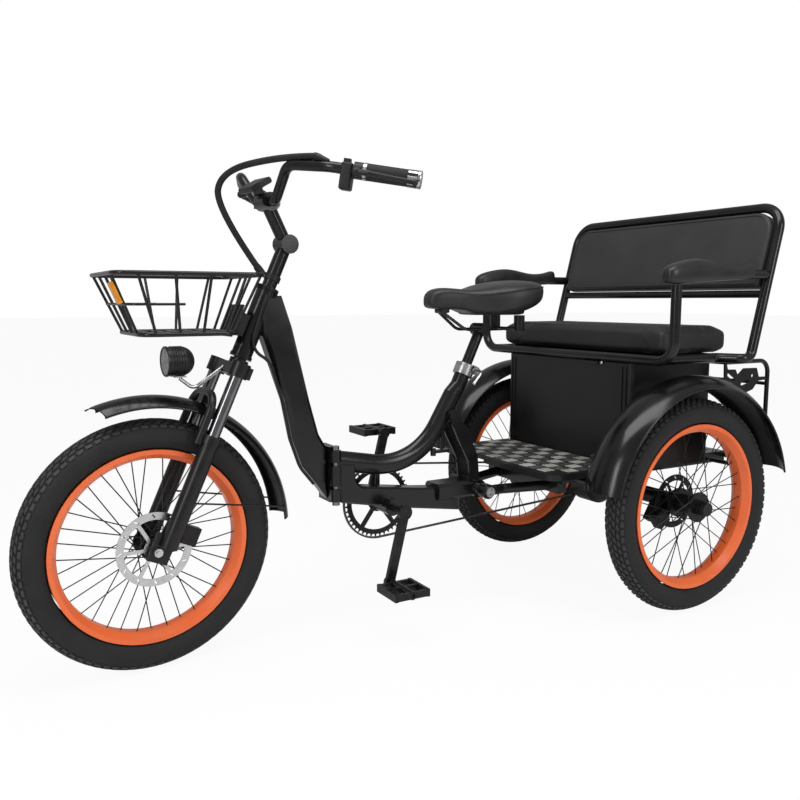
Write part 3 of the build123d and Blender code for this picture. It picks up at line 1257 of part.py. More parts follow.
def bench_frame():
    r = BENCH_TUBE_RADIUS
    half = BENCH_HALF_WIDTH
    front_loop = tube(
        [
            (BENCH_FRONT_X, -half, ARM_TOP_Z),
            (BENCH_FRONT_X, -half, BENCH_Z),
            (BENCH_FRONT_X, half, BENCH_Z),
            (BENCH_FRONT_X, half, ARM_TOP_Z),
        ],
        BENCH_BEND,
        r,
    )
    hoop = tube(
        [
            (BENCH_FRONT_X, -half + 60, BENCH_Z),
            (HOOP_FOOT_X + 60, -half + 60, BENCH_Z),
            (HOOP_FOOT_X + 30, -half, BENCH_Z),
            (HOOP_FOOT_X, -half, BENCH_Z),
            (HOOP_TOP_X, -half, HOOP_TOP_Z),
            (HOOP_TOP_X, half, HOOP_TOP_Z),
            (HOOP_FOOT_X, half, BENCH_Z),
            (HOOP_FOOT_X + 30, half, BENCH_Z),
            (HOOP_FOOT_X + 60, half - 60, BENCH_Z),
            (BENCH_FRONT_X, half - 60, BENCH_Z),
        ],
        [20, 20, 25, HOOP_BEND, HOOP_BEND, 25, 20, 20],
        r,
    )
    rail_x = HOOP_FOOT_X + (HOOP_TOP_X - HOOP_FOOT_X) * (BACK_RAIL_Z - BENCH_Z) / (HOOP_TOP_Z - BENCH_Z)
    pieces = [front_loop, hoop, across(rail_x, BACK_RAIL_Z, -half, half, 10)]
    seat_bar = r - 0.1
    pieces.append(across(HOOP_FOOT_X + 80, BENCH_Z, -half + 60, half - 60, seat_bar))
    pieces.append(across(BENCH_FRONT_X - 60, BENCH_Z, -half + 60, half - 60, seat_bar))
    return joined(pieces)


save(bench_frame(), "bench_frame")
cushion = block(
    CUSHION_REAR_X, CUSHION_FRONT_X, -CUSHION_HALF_WIDTH, CUSHION_HALF_WIDTH,
    BENCH_Z + BENCH_TUBE_RADIUS + SEAT_GAP, CUSHION_HIGH,
)
cushion = fillet(cushion.edges().filter_by(Axis.Z), 28)
cushion = fillet(cushion.edges().group_by(Axis.Z)[-1], 14)
save(cushion, "seat_cushion")
BACK_LEAN = degrees(atan2(HOOP_FOOT_X - HOOP_TOP_X, HOOP_TOP_Z - BENCH_Z))
BACK_PAD_LOW = BACK_RAIL_Z + 14.0
BACK_PAD_HIGH = HOOP_TOP_Z - BENCH_TUBE_RADIUS - 3.0
BACK_PAD_DEPTH = 42.0
BACK_PAD_HALF = BENCH_HALF_WIDTH - ARM_HALF_WIDTH - 0.5


def back_pad():
    middle_z = (BACK_PAD_LOW + BACK_PAD_HIGH) / 2
    middle_x = HOOP_FOOT_X + (HOOP_TOP_X - HOOP_FOOT_X) * (middle_z - BENCH_Z) / (HOOP_TOP_Z - BENCH_Z)
    height = (BACK_PAD_HIGH - BACK_PAD_LOW) / cos(radians(BACK_LEAN))
    pad = Box(BACK_PAD_DEPTH, 2 * BACK_PAD_HALF, height)
    pad = fillet(pad.edges().filter_by(Axis.X).group_by(Axis.Z)[-1], 52)
    pad = fillet(pad.edges().group_by(Axis.X)[-1], 8)
    return Pos(middle_x, 0, middle_z) * Rot(0, -BACK_LEAN, 0) * pad


save(back_pad(), "back_pad")


def armrests():
    """A padded rest each side, drooping over the front upright."""
    result = []
    front = BENCH_FRONT_X + 40
    rear_z = ARM_TOP_Z + 67.0
    rear = HOOP_FOOT_X + (HOOP_TOP_X - HOOP_FOOT_X) * (rear_z - BENCH_Z) / (HOOP_TOP_Z - BENCH_Z)
    rear = rear + BENCH_TUBE_RADIUS + 1.5
    top = Spline((rear, rear_z), (rear + 110, rear_z - 4), (front - 90, rear_z - 1), (front, ARM_TOP_Z + 26))
    outline = make_face(
        Curve()
        + top
        + Polyline(
            (front, ARM_TOP_Z + 26), (front - 2, ARM_TOP_Z + 12), (front - 22, ARM_TOP_Z),
            (front - 70, ARM_TOP_Z + 0.3), (rear + 12, rear_z - 35), (rear, rear_z),
        )
    )
    for side in (-1, 1):
        plane = Plane(origin=(0, side * BENCH_HALF_WIDTH + ARM_HALF_WIDTH, 0), x_dir=(1, 0, 0), z_dir=(0, -1, 0))
        pad = extrude(plane * outline, 2 * ARM_HALF_WIDTH)
        pad = pad - Pos(BENCH_FRONT_X, side * BENCH_HALF_WIDTH, ARM_TOP_Z - 50) * Cylinder(
            BENCH_TUBE_RADIUS + SEAT_GAP, 100 + 2 * SEAT_GAP
        )
        result.append(pad)
    return group(result)


save(armrests(), "armrests")

# Rear fenders with a rolled outer edge, carried by posts from the subframe.


def rear_fenders():
    result = []
    for side in (-1, 1):
        blade = fender_blade(FENDER_RADIUS, FENDER_HALF_WIDTH, FENDER_WALL, FENDER_DROP, 12.0, 168.0)
        result.append(Pos(REAR_AXLE_X, side * HALF_TRACK, AXLE_Z) * blade)
    return group(result)


save(rear_fenders(), "rear_fenders")


def fender_braces():
    """Outriggers from the rails to the inner edge of each fender, and a tail rod."""
    pieces = []
    for side in (-1, 1):
        inner_y = side * (HALF_TRACK - FENDER_HALF_WIDTH - BEAD_OUT - 6.0 - SEAT_GAP)
        for angle in (28.0, 90.0, 152.0):
            reach = FENDER_RADIUS - FENDER_DROP - 1.0
            x = REAR_AXLE_X + reach * cos(radians(angle))
            z = AXLE_Z + reach * sin(radians(angle))
            foot_x = max(min(x, RAIL_FRONT_X - 30), RAIL_REAR_X + 30)
            y_rail = side * (RAIL_HALF_SPACING + RAIL_SIZE / 2 + SEAT_GAP)
            pieces.append((foot_x, y_rail, inner_y, x, z))
    return pieces


bars = []
for foot_x, y_rail, inner_y, x, z in fender_braces():
    bars.append(
        tube([(foot_x, y_rail, RAIL_Z), (foot_x, inner_y, RAIL_Z), (x, inner_y, z)], 22, 6)
        if abs(z - AXLE_Z) < 280
        else None
    )
save(group([bar for bar in bars if bar is not None]), "fender_braces")

# Rear rack: side loops of rod, a rear loop and scrolled side panels.


SCROLL_HALF = 1.9


def scroll_panel(side):
    """A leaf-shaped plate under each side rod, from the front cross rod to the rear post."""
    front = BOX_REAR_X - RACK_ROD - SEAT_GAP
    post = RACK_REAR_X
    top = RACK_TOP_Z - 18
    outline = make_face(
        Polyline(
            (front + 4, top + 15), (front - 5, top + 15), (front - 10, top - 1), (front - 42, top - 2),
            (front - 51, top - 18), (front - 76, top), (post + 48, top - 1), (post + 38, top - 26),
            (post, top - 27), (post, top - 35), (post + 40, top - 37), (post + 62, top - 60),
            (post + 93, top - 68), (front - 36, top - 50), (front + 2, top - 22), close=True,
        )
    )
    outline = fillet(outline.vertices(), 3)
    for x, z, long, tilt in ((front - 24, top - 22, 34, 32), (front - 82, top - 40, 34, -14)):
        outline = outline - Pos(x, z) * Rot(0, 0, tilt) * SlotOverall(long, 9)
    outline = outline - Pos(post + 65, top - 22) * Circle(5)
    centre = side * RACK_HALF_WIDTH
    plane = Plane(origin=(0, centre + SCROLL_HALF, 0), x_dir=(1, 0, 0), z_dir=(0, -1, 0))
    return extrude(plane * outline, 2 * SCROLL_HALF)


def rear_rack():
    """One bent rod for both side loops and the foot, with two cross rods."""
    x_front = BOX_REAR_X - RACK_ROD - SEAT_GAP
    half = RACK_HALF_WIDTH
    loops = tube(
        [
            (x_front, -half, RACK_TOP_Z),
            (RACK_REAR_X, -half, RACK_TOP_Z),
            (RACK_REAR_X, -half, RAIL_Z),
            (RACK_REAR_X, half, RAIL_Z),
            (RACK_REAR_X, half, RACK_TOP_Z),
            (x_front, half, RACK_TOP_Z),
        ],
        [34, 24, 24, 34],
        RACK_ROD,
    )
    top_bar = across(x_front, RACK_TOP_Z, -half - 2, half + 2, RACK_ROD - 0.5)
    rear_bar = across(RACK_REAR_X, 560, -half, half, RACK_ROD - 1)
    return joined([loops, top_bar, rear_bar] + [scroll_panel(side) for side in (-1, 1)])


save(rear_rack(), "rear_rack")

# Footrest ahead of the box: a folded tray on two ribs that lie along the rails.
FOOT_FRONT_X = REAR_AXLE_X + 372.0
FOOT_HALF_WIDTH = 248.0
FOOT_TOP_Z = BOX_LOW + 16.0
FOOT_WALL = 2.0
FOOT_CORNER = 36.0


def footrest():
    """A tray with rounded front corners and a turned-down edge, notched over the chain."""
    tray = block(BOX_FRONT_X + 1, FOOT_FRONT_X, -FOOT_HALF_WIDTH, FOOT_HALF_WIDTH, BOX_LOW + 1, FOOT_TOP_Z)
    tray = fillet(tray.edges().filter_by(Axis.Z).group_by(Axis.X)[-1], FOOT_CORNER)
    hollow = block(
        BOX_FRONT_X - 5, FOOT_FRONT_X - FOOT_WALL, -FOOT_HALF_WIDTH + FOOT_WALL,
        FOOT_HALF_WIDTH - FOOT_WALL, BOX_LOW - 5, FOOT_TOP_Z - FOOT_WALL,
    )
    hollow = fillet(hollow.edges().filter_by(Axis.Z).group_by(Axis.X)[-1], FOOT_CORNER - FOOT_WALL)
    ribs = [
        block(BOX_FRONT_X + 1, FOOT_FRONT_X - 1, y - 10, y + 10, BOX_LOW, FOOT_TOP_Z - 1)
        for y in (-RAIL_HALF_SPACING, RAIL_HALF_SPACING)
    ]
    notch = block(FOOT_FRONT_X - 20, FOOT_FRONT_X + 5, CHAIN_Y - 16, CHAIN_Y + 16, BOX_LOW - 5, BOX_LOW + 10)
    return joined([tray - hollow] + ribs) - notch


save(footrest(), "footrest")

# Chain round the chainring and the sprocket on the axle.


CHAIN_INNER_WIDTH = 5.4
CHAIN_OUTER_WIDTH = 7.8
CHAIN_LOW = 3.6
CHAIN_DEPTH = 4.6


def chain_path(offset):
    """The closed line of two arcs and two runs, outside the pitch line by an offset."""
    front_radius = CHAIN_PITCH / (2 * sin(pi / CHAINRING_TEETH)) + offset
    rear_radius = CHAIN_PITCH / (2 * sin(pi / SPROCKET_TEETH)) + offset
    span = Vector(CRANK_X - REAR_AXLE_X, CRANK_Z - AXLE_Z)
    lean = atan2(span.Y, span.X)
    spread = atan2(front_radius - rear_radius, sqrt(span.length ** 2 - (front_radius - rear_radius) ** 2))

    def on_front(angle):
        return (CRANK_X + front_radius * cos(angle), CRANK_Z + front_radius * sin(angle))

    def on_rear(angle):
        return (REAR_AXLE_X + rear_radius * cos(angle), AXLE_Z + rear_radius * sin(angle))

    up = lean + pi / 2 + spread
    down = lean - pi / 2 - spread
    return [
        Line(on_front(up), on_rear(up)),
        ThreePointArc(on_rear(up), on_rear(lean + pi), on_rear(down)),
        Line(on_rear(down), on_front(down)),
        ThreePointArc(on_front(down), on_front(lean), on_front(up)),
    ]


def chain():
    """Inner links as one band clear of the teeth, with an outer plate each side of every second link."""
    plane = Plane(origin=(0, CHAIN_Y + CHAIN_INNER_WIDTH / 2, 0), x_dir=(1, 0, 0), z_dir=(0, -1, 0))
    high_loop = extrude(plane * make_face(Curve() + chain_path(CHAIN_LOW + CHAIN_DEPTH)), CHAIN_INNER_WIDTH)
    low_loop = extrude(plane * make_face(Curve() + chain_path(CHAIN_LOW)), CHAIN_INNER_WIDTH)
    middle = Wire([line.edge() for line in chain_path(CHAIN_LOW + CHAIN_DEPTH / 2)])
    links = 2 * round(middle.length / CHAIN_PITCH / 2)
    reach = CHAIN_PITCH / 2 + 2.6
    half = CHAIN_DEPTH / 2 - 0.8
    outline = make_face(
        Polyline(
            (-reach, 0), (-reach + 2, -half), (reach - 2, -half), (reach, 0), (reach - 2, half), (-reach + 2, half),
            close=True,
        )
    )
    pieces = [high_loop - low_loop]
    for k in range(0, links, 2):
        at = middle.position_at(k / links)
        along = middle.tangent_at(k / links)
        spot = Plane(origin=(at.X, CHAIN_Y + CHAIN_OUTER_WIDTH / 2, at.Y), x_dir=(along.X, 0, along.Y), z_dir=(0, -1, 0))
        pieces.append(extrude(spot * outline, CHAIN_OUTER_WIDTH))
    return joined(pieces)


save(chain(), "chain")

# Rear calipers: one over the front lower edge of each disc, on an arm from the axle.


def rear_calipers():
    result = []
    for side in (-1, 1):
        y = side * (HALF_TRACK + REAR_DISC_Y)
        angle = radians(-35)
        x = REAR_AXLE_X + 66 * cos(angle)
        z = AXLE_Z + 66 * sin(angle)
        body = Pos(x, y, z) * Rot(0, 35, 0) * Box(38, 26, 40)
        body = body - across(REAR_AXLE_X, AXLE_Z, y - 4, y + 4, REAR_DISC_RADIUS + 4)
        y_in = side * AXLE_TUBE_END
        low, high = sorted((y_in - side * 16, y - side * 9))
        arm = side_plate(
            [(REAR_AXLE_X - 20, 250), (REAR_AXLE_X - 20, 295), (REAR_AXLE_X + 40, 270), (x + 12, z - 8), (x - 8, z - 20)],
            low,
            high,
        )
        piece = joined([body, arm]) - across(REAR_AXLE_X, AXLE_Z, low - 5, high + 5, AXLE_TUBE_RADIUS + 0.1)
        result.append(piece.solids().sort_by(SortBy.VOLUME)[-1])
    return group(result)


save(rear_calipers(), "rear_calipers")
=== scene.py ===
from math import cos, pi, radians, sin

import bmesh
import bpy
import numpy as np
from mathutils import Matrix, Vector


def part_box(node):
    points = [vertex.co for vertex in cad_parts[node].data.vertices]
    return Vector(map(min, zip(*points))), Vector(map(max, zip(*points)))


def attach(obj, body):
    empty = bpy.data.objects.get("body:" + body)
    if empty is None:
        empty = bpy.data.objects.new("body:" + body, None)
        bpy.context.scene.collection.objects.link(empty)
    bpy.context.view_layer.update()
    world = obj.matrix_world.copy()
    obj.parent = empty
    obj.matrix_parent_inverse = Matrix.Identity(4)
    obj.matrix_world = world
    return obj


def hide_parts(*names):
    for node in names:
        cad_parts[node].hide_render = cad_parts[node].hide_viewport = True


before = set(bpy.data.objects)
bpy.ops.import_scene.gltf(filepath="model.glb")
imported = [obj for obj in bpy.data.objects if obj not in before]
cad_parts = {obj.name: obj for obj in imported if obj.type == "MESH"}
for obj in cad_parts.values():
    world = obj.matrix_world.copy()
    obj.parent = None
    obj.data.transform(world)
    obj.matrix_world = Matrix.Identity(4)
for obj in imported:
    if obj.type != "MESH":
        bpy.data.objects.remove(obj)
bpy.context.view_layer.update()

scene = bpy.context.scene

# Viewpoint: the photographer stands ahead of the left front corner, about
# saddle height, and looks back and slightly down over the whole tricycle.
view_yaw = radians(239.925)
view_pitch = radians(-6.906)
sight = Vector((cos(view_pitch) * cos(view_yaw), cos(view_pitch) * sin(view_yaw), sin(view_pitch)))
lens = bpy.data.cameras.new("viewpoint")
lens.sensor_width = 36.0
lens.lens = 36.80
viewpoint = bpy.data.objects.new("viewpoint", lens)
viewpoint.location = (1.07034, 1.73809, 0.78832)
viewpoint.rotation_mode = "QUATERNION"
viewpoint.rotation_quaternion = sight.to_track_quat("-Z", "Y")
scene.collection.objects.link(viewpoint)
scene.camera = viewpoint
scene.view_settings.view_transform = "Standard"

# Studio: a room that is white to the camera and dimmer to the paint, and
# three broad lamps that lay long soft highlights on the tubes and fenders.
room = bpy.data.worlds.new("studio_room")
scene.world = room
room.use_nodes = True
links = room.node_tree.links
seen = room.node_tree.nodes.new("ShaderNodeLightPath")
either = room.node_tree.nodes.new("ShaderNodeMath")
either.operation = "MAXIMUM"
links.new(seen.outputs["Is Camera Ray"], either.inputs[0])
links.new(seen.outputs["Is Transmission Ray"], either.inputs[1])
power = room.node_tree.nodes.new("ShaderNodeMapRange")
power.inputs["To Min"].default_value = 0.42
power.inputs["To Max"].default_value = 1.0
links.new(either.outputs[0], power.inputs["Value"])
links.new(power.outputs["Result"], room.node_tree.nodes["Background"].inputs["Strength"])
room.node_tree.nodes["Background"].inputs["Color"].default_value = (1, 1, 1, 1)
for name, place, aim, width, height, watts in (
    ("lamp_above", (0.3, 0.6, 2.9), (-0.1, 0.0, 0.4), 2.6, 1.2, 52.0),
    ("lamp_front", (2.6, 1.2, 1.6), (0.3, 0.0, 0.5), 0.6, 1.6, 24.0),
    ("lamp_side", (-1.1, 2.9, 1.7), (-0.3, 0.0, 0.5), 0.6, 1.5, 24.0),
):
    glow = bpy.data.lights.new(name, "AREA")
    glow.shape = "RECTANGLE"
    glow.size = width
    glow.size_y = height
    glow.energy = watts
    lamp = bpy.data.objects.new(name, glow)
    lamp.location = place
    lamp.rotation_mode = "QUATERNION"
    lamp.rotation_quaternion = (Vector(aim) - Vector(place)).to_track_quat("-Z", "Y")
    scene.collection.objects.link(lamp)

# Floor: one pale sheet, white where the camera sees it lit, so the picture
# has no edge at the horizon and only a light shadow under the wheels.
floor_mesh = bpy.data.meshes.new("floor")
floor_mesh.from_pydata([(-40, -40, 0), (40, -40, 0), (40, 40, 0), (-40, 40, 0)], [], [(0, 1, 2, 3)])
floor = bpy.data.objects.new("floor", floor_mesh)
scene.collection.objects.link(floor)
paper = bpy.data.materials.new("studio_paper")
paper.use_nodes = True
tree = paper.node_tree
tree.nodes["Principled BSDF"].inputs["Base Color"].default_value = (0.84, 0.84, 0.84, 1)
tree.nodes["Principled BSDF"].inputs["Roughness"].default_value = 0.9
tree.nodes["Principled BSDF"].inputs["Specular IOR Level"].default_value = 0.0
white = tree.nodes.new("ShaderNodeEmission")
shown = tree.nodes.new("ShaderNodeLightPath")
share = tree.nodes.new("ShaderNodeMath")
share.operation = "MULTIPLY"
share.inputs[1].default_value = 0.93
tree.links.new(shown.outputs["Is Camera Ray"], share.inputs[0])
blend = tree.nodes.new("ShaderNodeMixShader")
tree.links.new(share.outputs[0], blend.inputs["Fac"])
tree.links.new(tree.nodes["Principled BSDF"].outputs[0], blend.inputs[1])
tree.links.new(white.outputs[0], blend.inputs[2])
tree.links.new(blend.outputs[0], tree.nodes["Material Output"].inputs["Surface"])
floor_mesh.materials.append(paper)


# Frame: welded steel tubes under a gloss black powder coat. The coat keeps a
# faint orange-peel ripple and a little variation of gloss from the oven.
def add_sockets(group, way, kind, *labels):
    """Gives a shader group sockets of one kind, on its way in or out."""
    for label in labels:
        group.interface.new_socket(label, in_out=way, socket_type="NodeSocket" + kind)


def drift_group():
    """Shader group: colour and roughness drift between two values over slow noise on object coordinates."""
    group = bpy.data.node_groups.new("tone_drift", "ShaderNodeTree")
    add_sockets(group, "INPUT", "Color", "Dark", "Light")
    add_sockets(group, "INPUT", "Float", "Size", "Smooth", "Rough")
    add_sockets(group, "OUTPUT", "Color", "Tone")
    add_sockets(group, "OUTPUT", "Float", "Roughness")
    inner = group.nodes
    wire = group.links
    given = inner.new("NodeGroupInput")
    made = inner.new("NodeGroupOutput")
    where = inner.new("ShaderNodeTexCoord")
    cloud = inner.new("ShaderNodeTexNoise")
    cloud.inputs["Detail"].default_value = 5.0
    wire.new(where.outputs["Object"], cloud.inputs["Vector"])
    wire.new(given.outputs["Size"], cloud.inputs["Scale"])
    spread = inner.new("ShaderNodeMapRange")
    spread.inputs["From Min"].default_value = 0.3
    spread.inputs["From Max"].default_value = 0.7
    wire.new(cloud.outputs["Fac"], spread.inputs["Value"])
    tone = inner.new("ShaderNodeMix")
    tone.data_type = "RGBA"
    wire.new(spread.outputs["Result"], tone.inputs["Factor"])
    wire.new(given.outputs["Dark"], tone.inputs["A"])
    wire.new(given.outputs["Light"], tone.inputs["B"])
    wire.new(tone.outputs["Result"], made.inputs["Tone"])
    gloss = inner.new("ShaderNodeMapRange")
    wire.new(spread.outputs["Result"], gloss.inputs["Value"])
    wire.new(given.outputs["Smooth"], gloss.inputs["To Min"])
    wire.new(given.outputs["Rough"], gloss.inputs["To Max"])
    wire.new(gloss.outputs["Result"], made.inputs["Roughness"])
    return group


def grain_group():
    """Shader group: a height that mixes rounded cells with fine noise, for orange peel, grain and leather."""
    group = bpy.data.node_groups.new("surface_grain", "ShaderNodeTree")
    add_sockets(group, "INPUT", "Float", "Cell Size", "Noise Size", "Cells")
    add_sockets(group, "OUTPUT", "Float", "Height")
    inner = group.nodes
    wire = group.links
    given = inner.new("NodeGroupInput")
    made = inner.new("NodeGroupOutput")
    where = inner.new("ShaderNodeTexCoord")
    cells = inner.new("ShaderNodeTexVoronoi")
    cells.feature = "SMOOTH_F1"
    wire.new(where.outputs["Object"], cells.inputs["Vector"])
    wire.new(given.outputs["Cell Size"], cells.inputs["Scale"])
    noise = inner.new("ShaderNodeTexNoise")
    noise.inputs["Detail"].default_value = 3.0
    wire.new(where.outputs["Object"], noise.inputs["Vector"])
    wire.new(given.outputs["Noise Size"], noise.inputs["Scale"])
    mixed = inner.new("ShaderNodeMix")
    wire.new(given.outputs["Cells"], mixed.inputs["Factor"])
    wire.new(noise.outputs["Fac"], mixed.inputs["A"])
    wire.new(cells.outputs["Distance"], mixed.inputs["B"])
    wire.new(mixed.outputs["Result"], made.inputs["Height"])
    return group


tone_drift = drift_group()
surface_grain = grain_group()


def finish(name, dark, light, drift, rough, cells, noise, cell_share, depth, metal=0.0, specular=0.35):
    """One surface finish: tone and roughness drift between pairs of values, over a grain with a bump.

    drift, cells and noise say how many features a metre holds, cell_share how much of the
    grain is cells, and depth how far the bump rises, in metres.
    """
    material = bpy.data.materials.new(name)
    material.use_nodes = True
    made = material.node_tree
    shader = made.nodes["Principled BSDF"]
    shader.inputs["Metallic"].default_value = metal
    shader.inputs["Specular IOR Level"].default_value = specular
    tone = made.nodes.new("ShaderNodeGroup")
    tone.node_tree = tone_drift
    tone.inputs["Dark"].default_value = (*dark, 1)
    tone.inputs["Light"].default_value = (*light, 1)
    tone.inputs["Size"].default_value = drift
    tone.inputs["Smooth"].default_value = rough[0]
    tone.inputs["Rough"].default_value = rough[1]
    made.links.new(tone.outputs["Tone"], shader.inputs["Base Color"])
    made.links.new(tone.outputs["Roughness"], shader.inputs["Roughness"])
    grain = made.nodes.new("ShaderNodeGroup")
    grain.node_tree = surface_grain
    grain.inputs["Cell Size"].default_value = cells
    grain.inputs["Noise Size"].default_value = noise
    grain.inputs["Cells"].default_value = cell_share
    bump = made.nodes.new("ShaderNodeBump")
    bump.inputs["Strength"].default_value = 0.6
    bump.inputs["Distance"].default_value = depth
    made.links.new(grain.outputs["Height"], bump.inputs["Height"])
    made.links.new(bump.outputs["Normal"], shader.inputs["Normal"])
    return material


def dress(material, *names):
    """Gives CAD nodes a finish through their material slots."""
    for name in names:
        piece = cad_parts[name]
        if not piece.material_slots:
            piece.data.materials.append(material)
        for slot in piece.material_slots:
            slot.material = material


frame_paint = finish(
    "black_powder_coat", dark=(0.0045, 0.0045, 0.005), light=(0.008, 0.008, 0.0085),
    drift=14.0, rough=(0.16, 0.26), cells=700.0, noise=260.0, cell_share=0.2, depth=0.00012,
)
dress(frame_paint, "front_frame", "rear_frame", "rear_subframe", "bench_frame", "rear_rack", "fold_latch")
dress(frame_paint, "stem", "handlebar", "seat_post", "fender_braces", "front_fender_stays", "headset_cups")

# Rims: wide box sections, rolled from alloy and welded into a hoop, one for
# each wheel. They have an orange coat all over.
rim_paint = finish(
    "orange_rim_coat", dark=(0.78, 0.135, 0.034), light=(0.86, 0.165, 0.045),
    drift=9.0, rough=(0.28, 0.36), cells=900.0, noise=300.0, cell_share=0.1, depth=0.00008, specular=0.4,
)
dress(rim_paint, "front_rim", "rear_left_rim", "rear_right_rim")

# Tyres: thick black rubber casings on the rims. Seven rows of small blocks stand
# on the crown and shoulders, staggered from row to row, and the wall is ribbed. The blocks carry a painted
# highlight: their rubber is lighter than the casing's, and also glossier.
tyre_rubber = finish(
    "tyre_rubber", dark=(0.010, 0.010, 0.0105), light=(0.019, 0.019, 0.0195),
    drift=30.0, rough=(0.62, 0.8), cells=1500.0, noise=700.0, cell_share=0.3, depth=0.0003, specular=0.3,
)
# block rubber: a lighter colour than the casing as a painted highlight, with a real lower roughness and
# higher specular
tread_rubber_painted_highlight = finish(
    "tread_rubber_painted_highlight", dark=(0.017, 0.017, 0.0175), light=(0.036, 0.036, 0.0365),
    drift=40.0, rough=(0.45, 0.62), cells=1500.0, noise=700.0, cell_share=0.3, depth=0.0003, specular=0.4,
)


def closed_piece(name, points, faces):
    """New piece from points and faces: doubled points are merged, and all faces turned to face out."""
    mesh = bpy.data.meshes.new(name)
    mesh.from_pydata(points.reshape(-1, 3).tolist(), [], faces)
    mesh.update()
    work = bmesh.new()
    work.from_mesh(mesh)
    bmesh.ops.remove_doubles(work, verts=work.verts, dist=1e-6)
    bmesh.ops.recalc_face_normals(work, faces=work.faces)
    work.to_mesh(mesh)
    work.free()
    piece = bpy.data.objects.new(name, mesh)
    scene.collection.objects.link(piece)
    return piece


def grid_quads(rows, columns):
    """Cells of a grid of points that wraps both ways: a quad joins a point with its next row and column."""
    index = np.arange(rows * columns).reshape(rows, columns)
    next_row = np.roll(index, -1, 0)
    corners = [index, next_row, np.roll(next_row, -1, 1), np.roll(index, -1, 1)]
    return np.stack(corners, -1).reshape(-1, 4)


# corners of a square, in their order round it
square = np.array([(-1, -1), (1, -1), (1, 1), (-1, 1)])


def block_faces(count):
    """Faces of blocks with twelve points each, in three square levels: two rounds of sides, a top, a foot."""
    side = np.array([(k, (k + 1) % 4, 4 + (k + 1) % 4, 4 + k) for k in range(4)])
    block = np.concatenate([side, side + 4, [(8, 9, 10, 11), (3, 2, 1, 0)]])
    return (12 * np.arange(count)[:, None, None] + block).reshape(-1, 4)


casing_centre = 0.2380
casing_height = 0.0345
casing_width = 0.0360
wall_thickness = 0.004
casing_steps = 180
wall_steps = 48
wall_end = 2.42
rib_angle = 1.75
rib_half_angle = 0.05
rib_height = 0.0004
shoulder_angle = 0.98
shoulder_slope = 22
side_relief = 0.4
block_height = 0.0030
blocks_round = 84
# lift and size of a block's foot, of its bevel and of its top
block_levels = ((-0.001, 1.12), (block_height * 0.92, 0.92), (block_height, 0.72))
# rows of blocks: angle from the crown, half size across in radians, then half
# size along, shift and slant in pitches
tread_rows = (
    (0.0, 0.085, 0.30, 0.0, 0.0),
    (0.27, 0.095, 0.33, 0.5, 0.18),
    (-0.27, 0.095, 0.33, 0.5, -0.18),
    (0.55, 0.095, 0.33, 0.0, 0.22),
    (-0.55, 0.095, 0.33, 0.0, -0.22),
    (0.86, 0.115, 0.36, 0.5, 0.0),
    (-0.86, 0.115, 0.36, 0.5, 0.0),
)


def casing(turn, round_angle, lift):
    """Point on the casing: an oval section swept round the axle, lower where it carries blocks.

    turn runs round the wheel, round_angle from the crown down the wall, and lift is outwards.
    The relief under the blocks fades past the shoulder along a logistic curve.
    """
    relief = block_height / (1 + np.exp((np.abs(round_angle) - shoulder_angle) * shoulder_slope))
    high = casing_height - relief + lift
    wide = casing_width - side_relief * relief + lift
    radius = casing_centre + high * np.cos(round_angle)
    return np.stack([radius * np.sin(turn), wide * np.sin(round_angle) + 0 * turn, radius * np.cos(turn)], -1)


def tyre(name, axle):
    """Casing grid with an inner wall inside it, and rows of tapered blocks at their angles on the section."""
    turns = np.linspace(0, 2 * pi, casing_steps + 1)[:-1]
    turn, wall = np.meshgrid(turns, np.linspace(-wall_end, wall_end, wall_steps + 1), indexing="ij")
    ribs = rib_height * (np.abs(np.abs(wall) - rib_angle) < rib_half_angle)
    inner_wall = casing(turn, wall[:, ::-1] * 0.985, -wall_thickness)
    shell = np.concatenate([casing(turn, wall, ribs), inner_wall], 1)
    pitch = 2 * pi / blocks_round
    points = [shell.reshape(-1, 3)]
    for row_angle, half_angle, half_turn, shift, slant in tread_rows:
        middle = (np.arange(blocks_round) + shift)[:, None] * pitch
        levels = []
        for lift, size in block_levels:
            across = row_angle + square[:, 1] * half_angle * size
            around = middle + pitch * (square[:, 0] * half_turn * size + slant * square[:, 1])
            levels.append(casing(around, np.broadcast_to(across, around.shape), lift))
        points.append(np.stack(levels, 1).reshape(-1, 3))
    shell_faces = grid_quads(*shell.shape[:2])
    tread_faces = len(points[0]) + block_faces(len(tread_rows) * blocks_round)
    faces = np.concatenate([shell_faces, tread_faces]).tolist()
    piece = closed_piece(name, np.concatenate(points), faces)
    piece.data.transform(Matrix.Translation(axle))
    piece.data.materials.append(tyre_rubber)
    piece.data.materials.append(tread_rubber_painted_highlight)
    on_block = np.arange(len(piece.data.polygons)) >= len(shell_faces)
    piece.data.polygons.foreach_set("use_smooth", ~on_block)
    piece.data.polygons.foreach_set("material_index", on_block.astype(np.int32))
    return piece


front_axle_x = 0.684
rear_axle_x = -0.588
rear_half_track = 0.343
axle_height = 0.2725
fork_offset = 0.035
head_angle = radians(66)
steer_rest = radians(4.0)
steer_foot_x = front_axle_x - fork_offset * sin(head_angle)
steer_foot_height = axle_height - fork_offset * cos(head_angle)
steer_foot = Vector((steer_foot_x, 0, steer_foot_height))
steer_line = Vector((-cos(head_angle), 0, sin(head_angle)))


def turn_with_fork(piece):
    """Turns a piece drawn straight ahead about the steering axis by the angle it rests at."""
    swing = Matrix.Rotation(steer_rest, 4, steer_line)
    piece.data.transform(Matrix.Translation(steer_foot) @ swing @ Matrix.Translation(-steer_foot))


